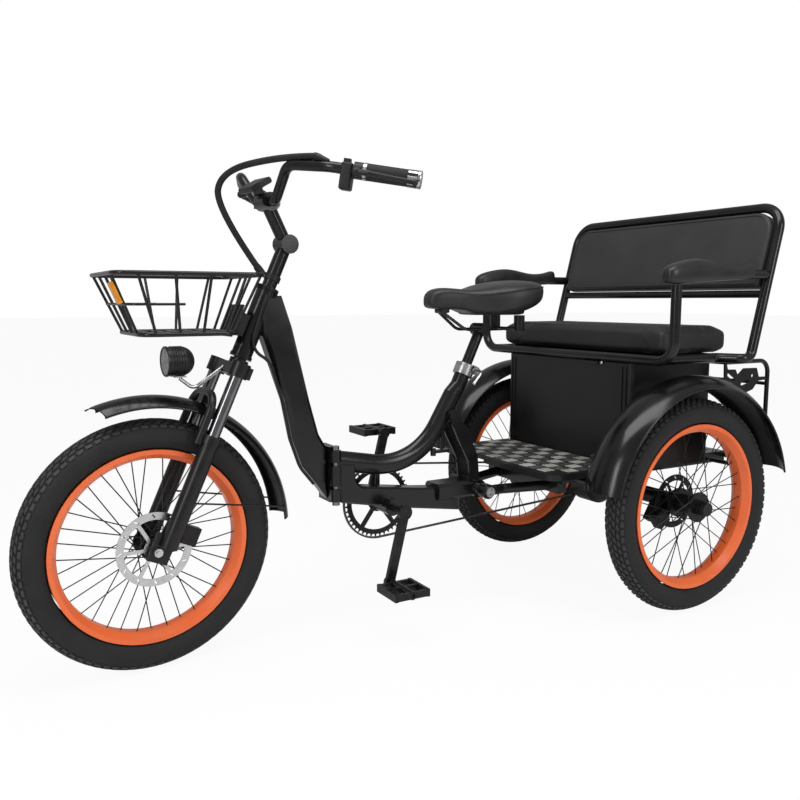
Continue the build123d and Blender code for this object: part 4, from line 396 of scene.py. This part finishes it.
for name, place, body in (
    ("front_tyre", (front_axle_x, 0.0, axle_height), "front_wheel"),
    ("rear_left_tyre", (rear_axle_x, rear_half_track, axle_height), "left_wheel"),
    ("rear_right_tyre", (rear_axle_x, -rear_half_track, axle_height), "right_wheel"),
):
    piece = tyre(name + "_with_blocks", place)
    if body == "front_wheel":
        turn_with_fork(piece)
    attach(piece, body)
    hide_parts(name)

# Hubs, spokes, cranks and calipers: turned and forged alloy, anodised black, and
# black stainless spokes laced to the rims.
hub_black = finish(
    "black_hub_alloy", dark=(0.010, 0.010, 0.010), light=(0.022, 0.022, 0.022),
    drift=60.0, rough=(0.24, 0.4), cells=1200.0, noise=500.0, cell_share=0.1, depth=0.00005, metal=0.55,
)
dress(hub_black, "front_hub_and_spokes", "rear_left_hub_and_spokes", "rear_right_hub_and_spokes")
dress(hub_black, "crankset", "pedal_left", "pedal_right", "chainring")
dress(hub_black, "rear_calipers", "front_caliper", "rear_axle")

# Brake disc, front axle, pivot bolt and lamp bracket: bare steel. The disc is
# ground on both faces and bolted to the front hub.
bare_steel = finish(
    "ground_steel", dark=(0.46, 0.46, 0.47), light=(0.60, 0.60, 0.61),
    drift=120.0, rough=(0.22, 0.36), cells=900.0, noise=1400.0, cell_share=0.05, depth=0.00005, metal=1.0,
)
dress(bare_steel, "front_brake_disc", "front_axle", "pivot_bolt", "headlamp_bracket")

# Fork: cast alloy lowers and crown in satin black, on dark polished stanchions.
# The basket's bracket, battery and motor are finished like the crown, and the
# hinge pin like the stanchions.
cast_black = finish(
    "cast_black", dark=(0.006, 0.006, 0.0065), light=(0.011, 0.011, 0.0115),
    drift=25.0, rough=(0.26, 0.38), cells=500.0, noise=200.0, cell_share=0.3, depth=0.0002, specular=0.3,
)
dress(cast_black, "fork_lowers", "fork_crown", "basket_bracket", "battery", "motor")
stanchion_chrome = finish(
    "dark_stanchion", dark=(0.16, 0.16, 0.17), light=(0.21, 0.21, 0.22),
    drift=40.0, rough=(0.12, 0.18), cells=900.0, noise=1200.0, cell_share=0.05, depth=0.00003, metal=1.0,
)
dress(stanchion_chrome, "fork_stanchions", "hinge_pin")

# Fenders: pressed blades with rolled edges in gloss black, the glossiest thing
# on the tricycle, held by stays in front and braces at the rear.
fender_gloss = finish(
    "fender_gloss", dark=(0.0035, 0.0035, 0.004), light=(0.006, 0.006, 0.0065),
    drift=10.0, rough=(0.15, 0.23), cells=300.0, noise=60.0, cell_share=0.1, depth=0.0002, specular=0.34,
)
dress(fender_gloss, "front_fender", "rear_fenders")

# Basket: welded wire under the frame's own coat, bolted to its bracket on the
# head tube. The amber reflector on its side is moulded in small cells.
dress(frame_paint, "basket")
amber = finish(
    "amber_reflector", dark=(0.55, 0.19, 0.01), light=(0.75, 0.30, 0.02),
    drift=90.0, rough=(0.15, 0.25), cells=350.0, noise=400.0, cell_share=0.9, depth=0.0006,
)
dress(amber, "basket_reflector")

# Controls: moulded plastic switch, display and levers clamped on the bar, and
# two rubber grips pushed on its ends. The lamp's housing and the casings of the
# cables along the main tube have the same plastic finish.
moulded = finish(
    "moulded_plastic", dark=(0.008, 0.008, 0.0085), light=(0.014, 0.014, 0.0145),
    drift=30.0, rough=(0.38, 0.52), cells=900.0, noise=500.0, cell_share=0.5, depth=0.0002, specular=0.3,
)
dress(moulded, "bar_switch", "display", "headlamp", "brake_levers", "front_cables")
grip_rubber = finish(
    "grip_rubber", dark=(0.012, 0.012, 0.012), light=(0.02, 0.02, 0.02),
    drift=60.0, rough=(0.6, 0.75), cells=700.0, noise=900.0, cell_share=0.5, depth=0.0004, specular=0.25,
)
dress(grip_rubber, "grips")

# Cable bundle: the hoses and wires of the left grip under one black wrap, in a
# stiff arc ahead of the bar. It leaves a tapered boot on the bar and ends in a
# ferrule, which a band holds on the foot of the stem.
bundle_route = [
    (0.384, 0.188, 1.0816),
    (0.422, 0.112, 1.087),
    (0.502, -0.020, 1.064),
    (0.507, -0.042, 0.988),
    (0.4153, -0.007, 0.849),
]
bundle_radius = 0.007
bundle_line = bpy.data.curves.new("cable_bundle", "CURVE")
bundle_line.dimensions = "3D"
bundle_spline = bundle_line.splines.new("NURBS")
bundle_spline.points.add(len(bundle_route) - 1)
for point, place in zip(bundle_spline.points, bundle_route):
    point.co = (*place, 1.0)
bundle_spline.order_u = 3
bundle_spline.use_endpoint_u = True
bundle_spline.resolution_u = 16
bundle_line.bevel_depth = bundle_radius
bundle_line.bevel_resolution = 5
bundle_line.use_fill_caps = True
bundle_line.materials.append(moulded)
bundle = bpy.data.objects.new("cable_bundle", bundle_line)
scene.collection.objects.link(bundle)
turn_with_fork(bundle)
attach(bundle, "steering")
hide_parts("bar_cables")


def skin(name, points, closed=False):
    """Smooth mesh over a grid of points (rows, columns, xyz): columns wrap, and rows wrap or end flat."""
    rows, columns = points.shape[:2]
    faces = grid_quads(rows, columns).tolist()
    if not closed:
        last_row = (rows - 1) * columns
        first_end = list(range(columns))
        other_end = list(range(rows * columns - 1, last_row - 1, -1))
        faces = faces[:last_row] + [first_end, other_end]
    piece = closed_piece(name, points, faces)
    piece.data.shade_smooth()
    return piece


def square_to(axis):
    """Three unit directions: along the axis, level and square to it, and square to both."""
    along = np.asarray(axis, float) / np.linalg.norm(axis)
    level = np.cross(along, (0.0, 0.0, 1.0))
    level /= np.linalg.norm(level)
    return along, level, np.cross(along, level)


def lathe(name, start, axis, profile, steps=40, ring=False):
    """Turned solid: each profile pair is a distance along the axis and a radius, swept once round.

    A ring's profile closes on itself, and any other has flat ends.
    """
    along, level, beside = square_to(axis)
    profile = np.array(profile)[:, :, None, None]
    turn = np.linspace(0, 2 * pi, steps + 1)[:-1, None]
    around = np.cos(turn) * level + np.sin(turn) * beside
    piece = skin(name, np.asarray(start) + profile[:, 0] * along + profile[:, 1] * around, closed=ring)
    piece.data.set_sharp_from_angle(angle=radians(32))
    return piece


boot_way = (-0.0128, 0.0340, -0.0105)
boot_profile = [
    (-0.003, 0.0060), (-0.0026, 0.0076), (0.004, 0.0080), (0.010, 0.0074),
    (0.022, 0.0052), (0.034, 0.0036), (0.0375, 0.0022),
]
bundle_end = np.array(bundle_route[-1])
bundle_way = np.array(bundle_route[-2]) - bundle_end
ferrule_profile = [
    (-0.004, 0.004), (-0.0035, 0.0076), (0.0, 0.0088), (0.012, 0.0088), (0.020, 0.0078), (0.021, 0.0064),
]
band_rise = 0.629
band_place = np.array(steer_foot) + band_rise * np.array(steer_line)
band_profile = [(0.0, 0.01605), (0.0004, 0.0188), (0.0126, 0.0188), (0.013, 0.01605)]
for name, place, way, profile, ring in (
    ("bundle_boot", bundle_route[0], boot_way, boot_profile, False),
    ("bundle_ferrule", bundle_end, bundle_way, ferrule_profile, False),
    ("bundle_band", band_place, steer_line, band_profile, True),
):
    piece = lathe(name, place, way, profile, ring=ring)
    turn_with_fork(piece)
    piece.data.materials.append(moulded)
    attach(piece, "steering")

# Grip ends: a turned silver cap closes the outer end of each grip, with silver
# bars let into the rubber behind it, and a ring stands at the inner end by the
# lever's perch. All are bright plated metal.
silver = finish(
    "silver_collar", dark=(0.36, 0.36, 0.37), light=(0.50, 0.50, 0.51),
    drift=60.0, rough=(0.24, 0.32), cells=900.0, noise=240.0, cell_share=0.1, depth=0.00001, metal=1.0,
)
bar_knee = np.array([0.370, 0.218, 1.060])
bar_tip = np.array([0.230, 0.336, 1.034])
grip_way = square_to(bar_tip - bar_knee)[0]
cap_inset, ring_inset = 0.0242, 0.1128
cap_start = bar_tip - cap_inset * grip_way
ring_start = bar_tip - ring_inset * grip_way
cap_profile = [
    (0.0190, 0.0120), (0.0192, 0.0172), (0.0198, 0.0180), (0.0252, 0.0180),
    (0.0264, 0.0172), (0.0269, 0.0150), (0.0270, 0.0060),
]
ring_profile = [(-0.0020, 0.0120), (-0.0019, 0.0166), (-0.0014, 0.0174), (0.0056, 0.0178), (0.0062, 0.0168)]


def lengthwise_bars(name, start, axis, length, radius, half_width, count):
    """Bars set round an axis: each is a block along it, 0.9 mm proud of the radius, with a trimmed top."""
    along, level, beside = square_to(axis)
    steps = ((-0.0008, 0.0), (0.0006, 0.0), (0.0009, 0.0005))
    height, trim = np.array(steps).T[:, :, None, None]
    end, edge = square.T[:, :, None]
    turn = np.arange(count)[:, None, None, None] * 2 * pi / count
    out = np.cos(turn) * level + np.sin(turn) * beside
    length_place = along * (length / 2 + end * (length / 2 - trim))
    width_place = np.cross(along, out) * edge * (half_width - trim)
    points = start + length_place + width_place + out * (radius + height)
    return closed_piece(name, points, block_faces(count).tolist())


for side, label in ((1, "left"), (-1, "right")):
    mirrored = np.array([1, side, 1])
    way = grip_way * mirrored
    cap = lathe("grip_cap_" + label, cap_start * mirrored, way, cap_profile)
    ring = lathe("grip_ring_" + label, ring_start * mirrored, way, ring_profile)
    bars = lengthwise_bars(
        "grip_bars_" + label,
        cap_start * mirrored,
        way,
        length=0.0185,
        radius=0.017,
        half_width=0.0028,
        count=9,
    )
    for piece in (cap, ring, bars):
        turn_with_fork(piece)
        piece.data.materials.append(silver)
        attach(piece, "steering")

# Headlamp: a plastic housing in cast rings, which are the cooling ribs round its
# waist and the raised bezel. The bezel holds the lens, moulded in small cells.
lens_clear = finish(
    "lamp_lens", dark=(0.16, 0.165, 0.17), light=(0.34, 0.35, 0.36),
    drift=120.0, rough=(0.05, 0.1), cells=170.0, noise=100.0, cell_share=0.85, depth=0.0008, metal=0.5,
)
dress(lens_clear, "headlamp_lens")
lamp_middle = np.array([0.609, 0.0, 0.662])
bezel_place = 0.0262
bezel_profile = [
    (0.0, 0.0309), (0.0008, 0.0324), (0.0042, 0.0324), (0.0056, 0.0312),
    (0.0056, 0.0280), (0.0046, 0.0278), (0.0044, 0.0309),
]
rib_places = (-0.0045, 0.0010, 0.0065, 0.0120, 0.0175)
rib_profile = [(0.0, 0.0309), (0.0005, 0.0323), (0.0017, 0.0323), (0.0022, 0.0309)]
lamp_rings = [("lamp_bezel", bezel_place, bezel_profile)]
for count, place in enumerate(rib_places):
    lamp_rings.append(("lamp_rib_%d" % count, place, rib_profile))
for name, place, profile in lamp_rings:
    piece = lathe(name, lamp_middle + (place, 0, 0), (1, 0, 0), profile, steps=56, ring=True)
    turn_with_fork(piece)
    piece.data.materials.append(cast_black)
    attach(piece, "steering")

# Seat clamp and chain: a bright clamp pinches the seat tube on its post. The
# chain is dark steel plates and rollers, round the chainring and the sprocket.
dress(silver, "seat_clamp")
chain_steel = finish(
    "chain_steel", dark=(0.05, 0.048, 0.045), light=(0.12, 0.115, 0.11),
    drift=200.0, rough=(0.3, 0.45), cells=900.0, noise=900.0, cell_share=0.1, depth=0.0001, metal=0.9,
)
dress(chain_steel, "chain")

# Box: folded steel sheet under a flatter black coat, bolted into the subframe.
# The front edge of its lid has a pressed hasp and one bright screw.
box_paint = finish(
    "box_coat", dark=(0.006, 0.006, 0.0065), light=(0.010, 0.010, 0.0105),
    drift=8.0, rough=(0.3, 0.42), cells=600.0, noise=220.0, cell_share=0.3, depth=0.00015, specular=0.3,
)
dress(box_paint, "storage_box", "box_lid")


def rounded_slab(name, centre, half, power):
    """Closed slab: a ball whose cosines and sines are raised to powers below one, in plan and in height."""
    latitude = np.linspace(-pi / 2, pi / 2, 41)[:, None]
    longitude = np.linspace(-pi, pi, 97)[None, :-1]

    def squared(value, exponent):
        """Raises the size of a value to the exponent and keeps its sign."""
        return np.sign(value) * np.abs(value) ** exponent

    x = squared(np.cos(latitude), power[1]) * squared(np.cos(longitude), power[0])
    y = squared(np.cos(latitude), power[1]) * squared(np.sin(longitude), power[0])
    z = squared(np.sin(latitude), power[1]) + 0 * longitude
    return skin(name, np.asarray(centre) + np.asarray(half) * np.stack([x, y, z], -1))


hasp_middle = (-0.4619, 0.108, 0.6262)
hasp_half = (0.0014, 0.026, 0.0042)
hasp = rounded_slab("lid_hasp", hasp_middle, hasp_half, power=(0.2, 0.2))
screw_place = (-0.4634, 0.147, 0.6268)
screw_profile = [(0.0, 0.0046), (0.0014, 0.0046), (0.0026, 0.0032), (0.0029, 0.0012)]
screw = lathe("hasp_screw", screw_place, (1, 0, 0), screw_profile, steps=20)
for piece, cover, slot in ((hasp, box_paint, "frame_black"), (screw, silver, "silver")):
    piece.data.materials.append(cover)
    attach(piece, "rear_body")

# Seat cushion: foam under black coated cloth, a long rounded slab that swells
# between its ends. It lies loose on the bench tubes, over the box lid.
vinyl = finish(
    "cushion_vinyl", dark=(0.013, 0.013, 0.0135), light=(0.019, 0.019, 0.0195),
    drift=12.0, rough=(0.42, 0.55), cells=1300.0, noise=420.0, cell_share=0.75, depth=0.00035, specular=0.3,
)


def inflate(piece, voxel, swell, pressure, frames=20):
    """Cloth pass: remesh, blow up under pressure with no gravity, and cap how far each point travels.
    """
    remesh = piece.modifiers.new("remesh", "REMESH")
    remesh.mode = "VOXEL"
    remesh.voxel_size = voxel
    bpy.context.view_layer.objects.active = piece
    for other in bpy.context.selected_objects:
        other.select_set(False)
    piece.select_set(True)
    bpy.ops.object.modifier_apply(modifier="remesh")
    before = np.empty(len(piece.data.vertices) * 3)
    piece.data.vertices.foreach_get("co", before)
    cloth = piece.modifiers.new("cloth", "CLOTH")
    cloth.settings.use_pressure = True
    cloth.settings.uniform_pressure_force = pressure
    cloth.settings.effector_weights.gravity = 0.0
    cloth.settings.quality = 5
    cloth.point_cache.frame_start = 1
    cloth.point_cache.frame_end = frames
    for step in range(1, frames + 1):
        scene.frame_set(step)
    evaluated = piece.evaluated_get(bpy.context.evaluated_depsgraph_get())
    blown = evaluated.to_mesh()
    after = np.empty(len(blown.vertices) * 3)
    blown.vertices.foreach_get("co", after)
    evaluated.to_mesh_clear()
    piece.modifiers.remove(cloth)
    scene.frame_set(1)
    move = (after - before).reshape(-1, 3)
    travel = np.linalg.norm(move, axis=1, keepdims=True)
    return before.reshape(-1, 3) + move * np.minimum(1.0, swell / np.maximum(travel, 1e-9))


cushion_low, cushion_high = (np.array(corner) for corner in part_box("seat_cushion"))
cushion_lift = 0.0065
# what the pass draws in again, then the limits that hold it at the back, tubes and crown
cushion_spare = (0.001, 0.017, cushion_lift)
back_spare, tube_gap, crown_rise = 0.002, 0.0004, 0.018
cushion_mid = (cushion_low + cushion_high) / 2 + (0, 0, cushion_lift)
cushion_flatness = 0.97
cushion_half = ((cushion_high - cushion_low) / 2 + cushion_spare) * (1.0, 1.0, cushion_flatness)
cushion = rounded_slab("bench_cushion", cushion_mid, cushion_half, power=(0.12, 0.30))
shape = inflate(cushion, voxel=0.005, swell=0.010, pressure=4.0)
shape[:, 0] = np.maximum(shape[:, 0], cushion_low[0] - back_spare)
shape[:, 2] = np.clip(shape[:, 2], cushion_low[2] + tube_gap, cushion_high[2] + crown_rise)
cushion.data.vertices.foreach_set("co", shape.ravel())
cushion.data.shade_smooth()
cushion.data.materials.append(vinyl)
soften = cushion.modifiers.new("soften", "SUBSURF")
soften.levels = soften.render_levels = 1
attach(cushion, "rear_body")
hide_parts("seat_cushion")

# Back pad: a foam board in the hoop, covered in satin grey-black coated cloth,
# with a welt of piping round its front face. It is screwed on from behind.
pad_cloth = finish(
    "back_pad_cloth", dark=(0.026, 0.026, 0.0265), light=(0.034, 0.034, 0.0345),
    drift=10.0, rough=(0.45, 0.58), cells=1300.0, noise=420.0, cell_share=0.75, depth=0.0003, specular=0.3,
)


def pipe(name, path, radius, facing, closed=False):
    """Round tube: a circle of this radius swept along the points, kept level with the facing direction."""
    path = np.asarray(path, float)
    facing = np.asarray(facing, float)
    if closed:
        along = np.roll(path, -1, 0) - np.roll(path, 1, 0)
    else:
        along = np.gradient(path, axis=0)
    along /= np.linalg.norm(along, axis=1, keepdims=True)
    level = facing - along * (along @ facing)[:, None]
    level /= np.linalg.norm(level, axis=1, keepdims=True)
    beside = np.cross(along, level)
    turn = np.linspace(0, 2 * pi, 13)[:-1, None]
    around = np.cos(turn) * level[:, None] + np.sin(turn) * beside[:, None]
    return skin(name, path[:, None] + radius * around, closed=closed)


def board_outline(inset, half_size, top_bend, low_bend, steps=12):
    """Rounded rectangle moved inwards by an inset, from a lower corner round; each corner is one arc."""
    side = np.array([(1, -1), (1, 1), (-1, 1), (-1, -1)])
    bend = np.maximum(np.array([low_bend, top_bend, top_bend, low_bend]) - inset, 0.004)[:, None]
    centre = side * (np.array(half_size) - inset - bend)
    turn = np.radians(np.array([-90, 0, 90, 180])[:, None] + np.linspace(0, 90, steps))
    arc = np.stack([np.cos(turn), np.sin(turn)], -1)
    return (centre[:, None] + bend[:, None] * arc).reshape(-1, 2)


pad_low, pad_high = (np.array(corner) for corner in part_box("back_pad"))
pad_run, pad_rise = 0.103, 0.3872
pad_lean = np.arctan2(pad_run, pad_rise)
pad_up = np.array([-sin(pad_lean), 0, cos(pad_lean)])
pad_out = np.array([cos(pad_lean), 0, sin(pad_lean)])
pad_lift = 0.001
pad_centre = (pad_low + pad_high) / 2 + pad_lift * pad_up
pad_half = (0.3648, 0.1003)
pad_top_bend, pad_low_bend = 0.052, 0.012
# pad's edge from the back round to the front: inset of the outline, height over the middle
pad_profile = (
    (0.060, -0.0195), (0.012, -0.0200), (0.003, -0.0185), (0.0, -0.0130), (0.0, 0.0090),
    (0.0012, 0.0135), (0.0042, 0.0168), (0.0090, 0.0182), (0.0160, 0.0190), (0.0280, 0.0200),
    (0.0440, 0.0208), (0.0620, 0.0213), (0.0780, 0.0216), (0.0900, 0.0217),
)


def on_pad(outline, proud):
    """Points of an outline on the leaning board, this far in front of its middle."""
    return pad_centre + outline[:, :1] * (0, 1, 0) + outline[:, 1:] * pad_up + proud * pad_out


pad_rings = [
    on_pad(board_outline(inset, pad_half, pad_top_bend, pad_low_bend), proud) for inset, proud in pad_profile
]
back_pad = skin("back_pad_cover", np.array(pad_rings))
welt_inset, welt_proud, welt_low_bend, welt_radius = 0.0085, 0.0186, 0.014, 0.0019
welt_path = on_pad(board_outline(welt_inset, pad_half, pad_top_bend, welt_low_bend), welt_proud)
back_welt = pipe("back_pad_welt", welt_path, welt_radius, pad_out, closed=True)
for piece in (back_pad, back_welt):
    piece.data.materials.append(pad_cloth)
    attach(piece, "rear_body")
    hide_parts("back_pad")

# Armrests: self-skinned foam, a wave with a knob that droops over the front
# upright. Each is screwed down on a steel tube that runs on to the hoop.
foam_skin = finish(
    "armrest_skin", dark=(0.011, 0.011, 0.0115), light=(0.018, 0.018, 0.0185),
    drift=20.0, rough=(0.3, 0.42), cells=900.0, noise=300.0, cell_share=0.6, depth=0.0002, specular=0.35,
)


def stations_skin(name, stations, middle_y, squareness, pull_in=0.0, columns=28):
    """Closed soft form: at each X one oval with a half width, a top and a bottom.

    The squareness is a power on its cosine and sine. The crown falls to the sides by the
    square of the width, and the foot pulls in by the square of the height.
    """
    turn = np.linspace(0, 2 * pi, columns + 1)[None, :-1]
    place, half, top, bottom, fall = stations.T[:, :, None] / 1000
    across, upward = np.cos(turn), np.sin(turn)
    wide = np.sign(across) * np.abs(across) ** squareness[0]
    high = np.sign(upward) * np.abs(upward) ** squareness[1]
    wide = wide * np.where(high < 0, 1 - pull_in * high * high, 1)
    y = middle_y + half * wide
    z = (top + bottom) / 2 + (top - bottom) / 2 * high - np.where(high > 0, fall * wide * wide, 0)
    piece = skin(name, np.stack([place + 0 * y, y, z], -1))
    smooth = piece.modifiers.new("smooth", "SUBSURF")
    smooth.levels = smooth.render_levels = 2
    return piece


# columns: X, half width, top, bottom, fall of the crown, in millimetres
arm_stations = np.array([
    (-432.5, 6, 852, 842, 0), (-434.0, 13, 861, 835, 1), (-440.0, 18, 867, 830, 2),
    (-452.0, 22, 874, 827.6, 3), (-476.0, 23.5, 881, 827.2, 4), (-510.0, 24, 887.5, 829, 5),
    (-544.0, 23.5, 890.5, 832, 5), (-578.0, 22.5, 887, 834, 4), (-612.0, 21.5, 880, 836, 3),
    (-648.0, 21, 875, 838, 3), (-684.0, 20.5, 876.5, 840, 3), (-710.0, 20, 881.5, 841.5, 3),
    (-726.0, 19, 886.5, 842.5, 3), (-735.0, 17, 886, 844, 2), (-738.5, 12, 881, 848, 1),
    (-739.0, 5, 872, 856, 0),
])
arm_y = 0.378
arm_tube_height = 0.8545
arm_tube_radius = 0.0125
arm_tube_front, arm_tube_back = -0.728, -0.7985
for side, label in ((1, "left"), (-1, "right")):
    pad = stations_skin(
        "armrest_pad_" + label, arm_stations, side * arm_y, squareness=(0.62, 0.72), pull_in=0.06
    )
    tube_x = np.linspace(arm_tube_front, arm_tube_back, 8)
    tube_path = [(x, side * arm_y, arm_tube_height) for x in tube_x]
    bar = pipe("armrest_tube_" + label, tube_path, arm_tube_radius, (0, 0, 1))
    for piece, cover in ((pad, foam_skin), (bar, frame_paint)):
        piece.data.materials.append(cover)
        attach(piece, "rear_body")
        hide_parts("armrests")

# Saddle: a wide foam saddle in one moulded cover, deep at the rear, with a fat
# nose that droops. A sewn welt parts the top from the skirt, and a black plastic
# base under it takes the rails, which a clip holds at the front.
saddle_cover = finish(
    "saddle_cover", dark=(0.012, 0.012, 0.0125), light=(0.022, 0.022, 0.0225),
    drift=16.0, rough=(0.34, 0.46), cells=1100.0, noise=380.0, cell_share=0.7, depth=0.0003, specular=0.35,
)
# columns: X, half width, top, bottom, fall of the crown, in millimetres
saddle_stations = np.array([
    (-304.6, 72, 829, 799, 3), (-304.4, 95, 835, 790, 5), (-301.0, 103, 839, 782, 7),
    (-289.0, 108.5, 842, 773, 9), (-268.0, 112, 843.5, 764, 11), (-240.0, 113, 842, 756.5, 12),
    (-210.0, 110, 838, 752.6, 12), (-180.0, 98, 832, 752.6, 11), (-152.0, 76, 824, 754, 9),
    (-128.0, 56, 819, 757, 6), (-104.0, 44.5, 819, 766.6, 5), (-76.0, 38, 821.5, 767.2, 5),
    (-50.0, 33, 822, 767.2, 5), (-30.0, 29, 818, 768.5, 5), (-17.0, 22.5, 808, 771.5, 4),
    (-11.8, 14, 797, 777, 2), (-10.8, 6, 790, 782, 0),
])
saddle_squareness = (0.34, 0.46)
saddle_form = stations_skin(
    "saddle_cover", saddle_stations, 0.0, saddle_squareness, pull_in=0.08, columns=36
)
base_stations = saddle_stations[4:10] * (1, 0.78, 0, 0, 0) + (0, 0, 786, 752.4, 0)
saddle_base = stations_skin("saddle_base", base_stations, 0.0, squareness=(0.4, 0.3))
clip_stations = np.array([
    (-71.0, 14, 769, 761, 0), (-69.0, 21, 771, 758, 0), (-50.0, 21, 771, 756.5, 0), (-44.0, 15, 770, 760, 0),
])
saddle_clip = stations_skin("saddle_rail_clip", clip_stations, 0.0, squareness=(0.3, 0.3))
# the welt follows the cover's own formula at one angle up its side
seam_turn = 0.46
seam_radius = 0.0016
seam_x, half, top, bottom, fall = saddle_stations[1:14].T / 1000
wide = cos(seam_turn) ** saddle_squareness[0]
high = sin(seam_turn) ** saddle_squareness[1]
seam_z = (top + bottom) / 2 + (top - bottom) / 2 * high - fall * wide * wide
fine = np.linspace(0, 1, 61)
coarse = np.linspace(0, 1, len(seam_x))
left_seam = np.stack([np.interp(fine, coarse, line) for line in (seam_x, half * wide, seam_z)], -1)
seam_path = np.concatenate([left_seam, left_seam[::-1] * (1, -1, 1)])
saddle_welt = pipe("saddle_welt", seam_path, seam_radius, (0, 0, 1), closed=True)
for piece, cover in (
    (saddle_form, saddle_cover),
    (saddle_welt, saddle_cover),
    (saddle_base, moulded),
    (saddle_clip, moulded),
):
    piece.data.materials.append(cover)
    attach(piece, "rear_body")
    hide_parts("saddle")

# Footrest: a pressed steel tray in the box's coat. Short bars are raised in it
# in a basket weave. The bars that lie across carry a painted highlight, and the bars that lie along carry
# painted shade.
dress(box_paint, "footrest")
# two copies of one tread metal: a light one that paints a highlight on the bars across, and a dark one that
# paints shade on the bars along
painted_highlight_bar = finish(
    "painted_highlight_tread_bar", dark=(0.28, 0.28, 0.262), light=(0.56, 0.56, 0.53),
    drift=26.0, rough=(0.3, 0.45), cells=300.0, noise=500.0, cell_share=0.4, depth=0.0002, metal=0.45,
)
painted_shade_bar = finish(
    "painted_shade_tread_bar", dark=(0.05, 0.05, 0.047), light=(0.16, 0.16, 0.152),
    drift=60.0, rough=(0.34, 0.5), cells=300.0, noise=500.0, cell_share=0.4, depth=0.0002, metal=0.6,
)
tray_low, tray_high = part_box("footrest")
bar_height = 0.0016
cell_x, cell_y = 0.046, 0.0365
first_x, first_y = -0.255, 0.0325
cell_rows, cell_columns = np.meshgrid(range(6), range(-7, 6), indexing="ij")
cells = np.stack([first_x - cell_rows * cell_x, first_y + cell_columns * cell_y], -1)
# cells stop short of the tray's sides and rear edge, and sooner at its front corners
side_reach, rear_gap, corner_reach, corner_length = 0.226, 0.012, 0.20, 0.05
off_middle = np.abs(cells[..., 1])
past_tray = (off_middle > side_reach) | (cells[..., 0] < tray_low[0] + rear_gap)
past_corner = (cells[..., 0] > tray_high[0] - corner_length) & (off_middle > corner_reach)
on_tray = ~(past_tray | past_corner)
lies_across = (cell_rows + cell_columns) % 2 == 0


def raised_bars(name, cells, spread, half_size):
    """Three bars to a cell, a spread apart: tapered blocks, smaller at the top than at the foot."""
    middle = (cells[:, None] + np.array([-1, 0, 1])[:, None] * spread).reshape(-1, 1, 1, 2)
    steps = ((-0.0002, 0.0), (bar_height * 0.6, 0.0008), (bar_height, 0.0022))
    rise, trim = np.array(steps).T[:, :, None, None]
    flat = middle + square * (np.array(half_size) - trim)
    level = np.broadcast_to(tray_high[2] + rise, flat.shape[:3] + (1,))
    return closed_piece(name, np.concatenate([flat, level], -1), block_faces(len(middle)).tolist())


bars_across = raised_bars(
    "tread_bars_across", cells[on_tray & lies_across], spread=(0.0125, 0.0), half_size=(0.0047, 0.0155)
)
bars_along = raised_bars(
    "tread_bars_along", cells[on_tray & ~lies_across], spread=(0.0, 0.0105), half_size=(0.0185, 0.0036)
)
for piece, cover in ((bars_across, painted_highlight_bar), (bars_along, painted_shade_bar)):
    piece.data.materials.append(cover)
    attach(piece, "rear_body")
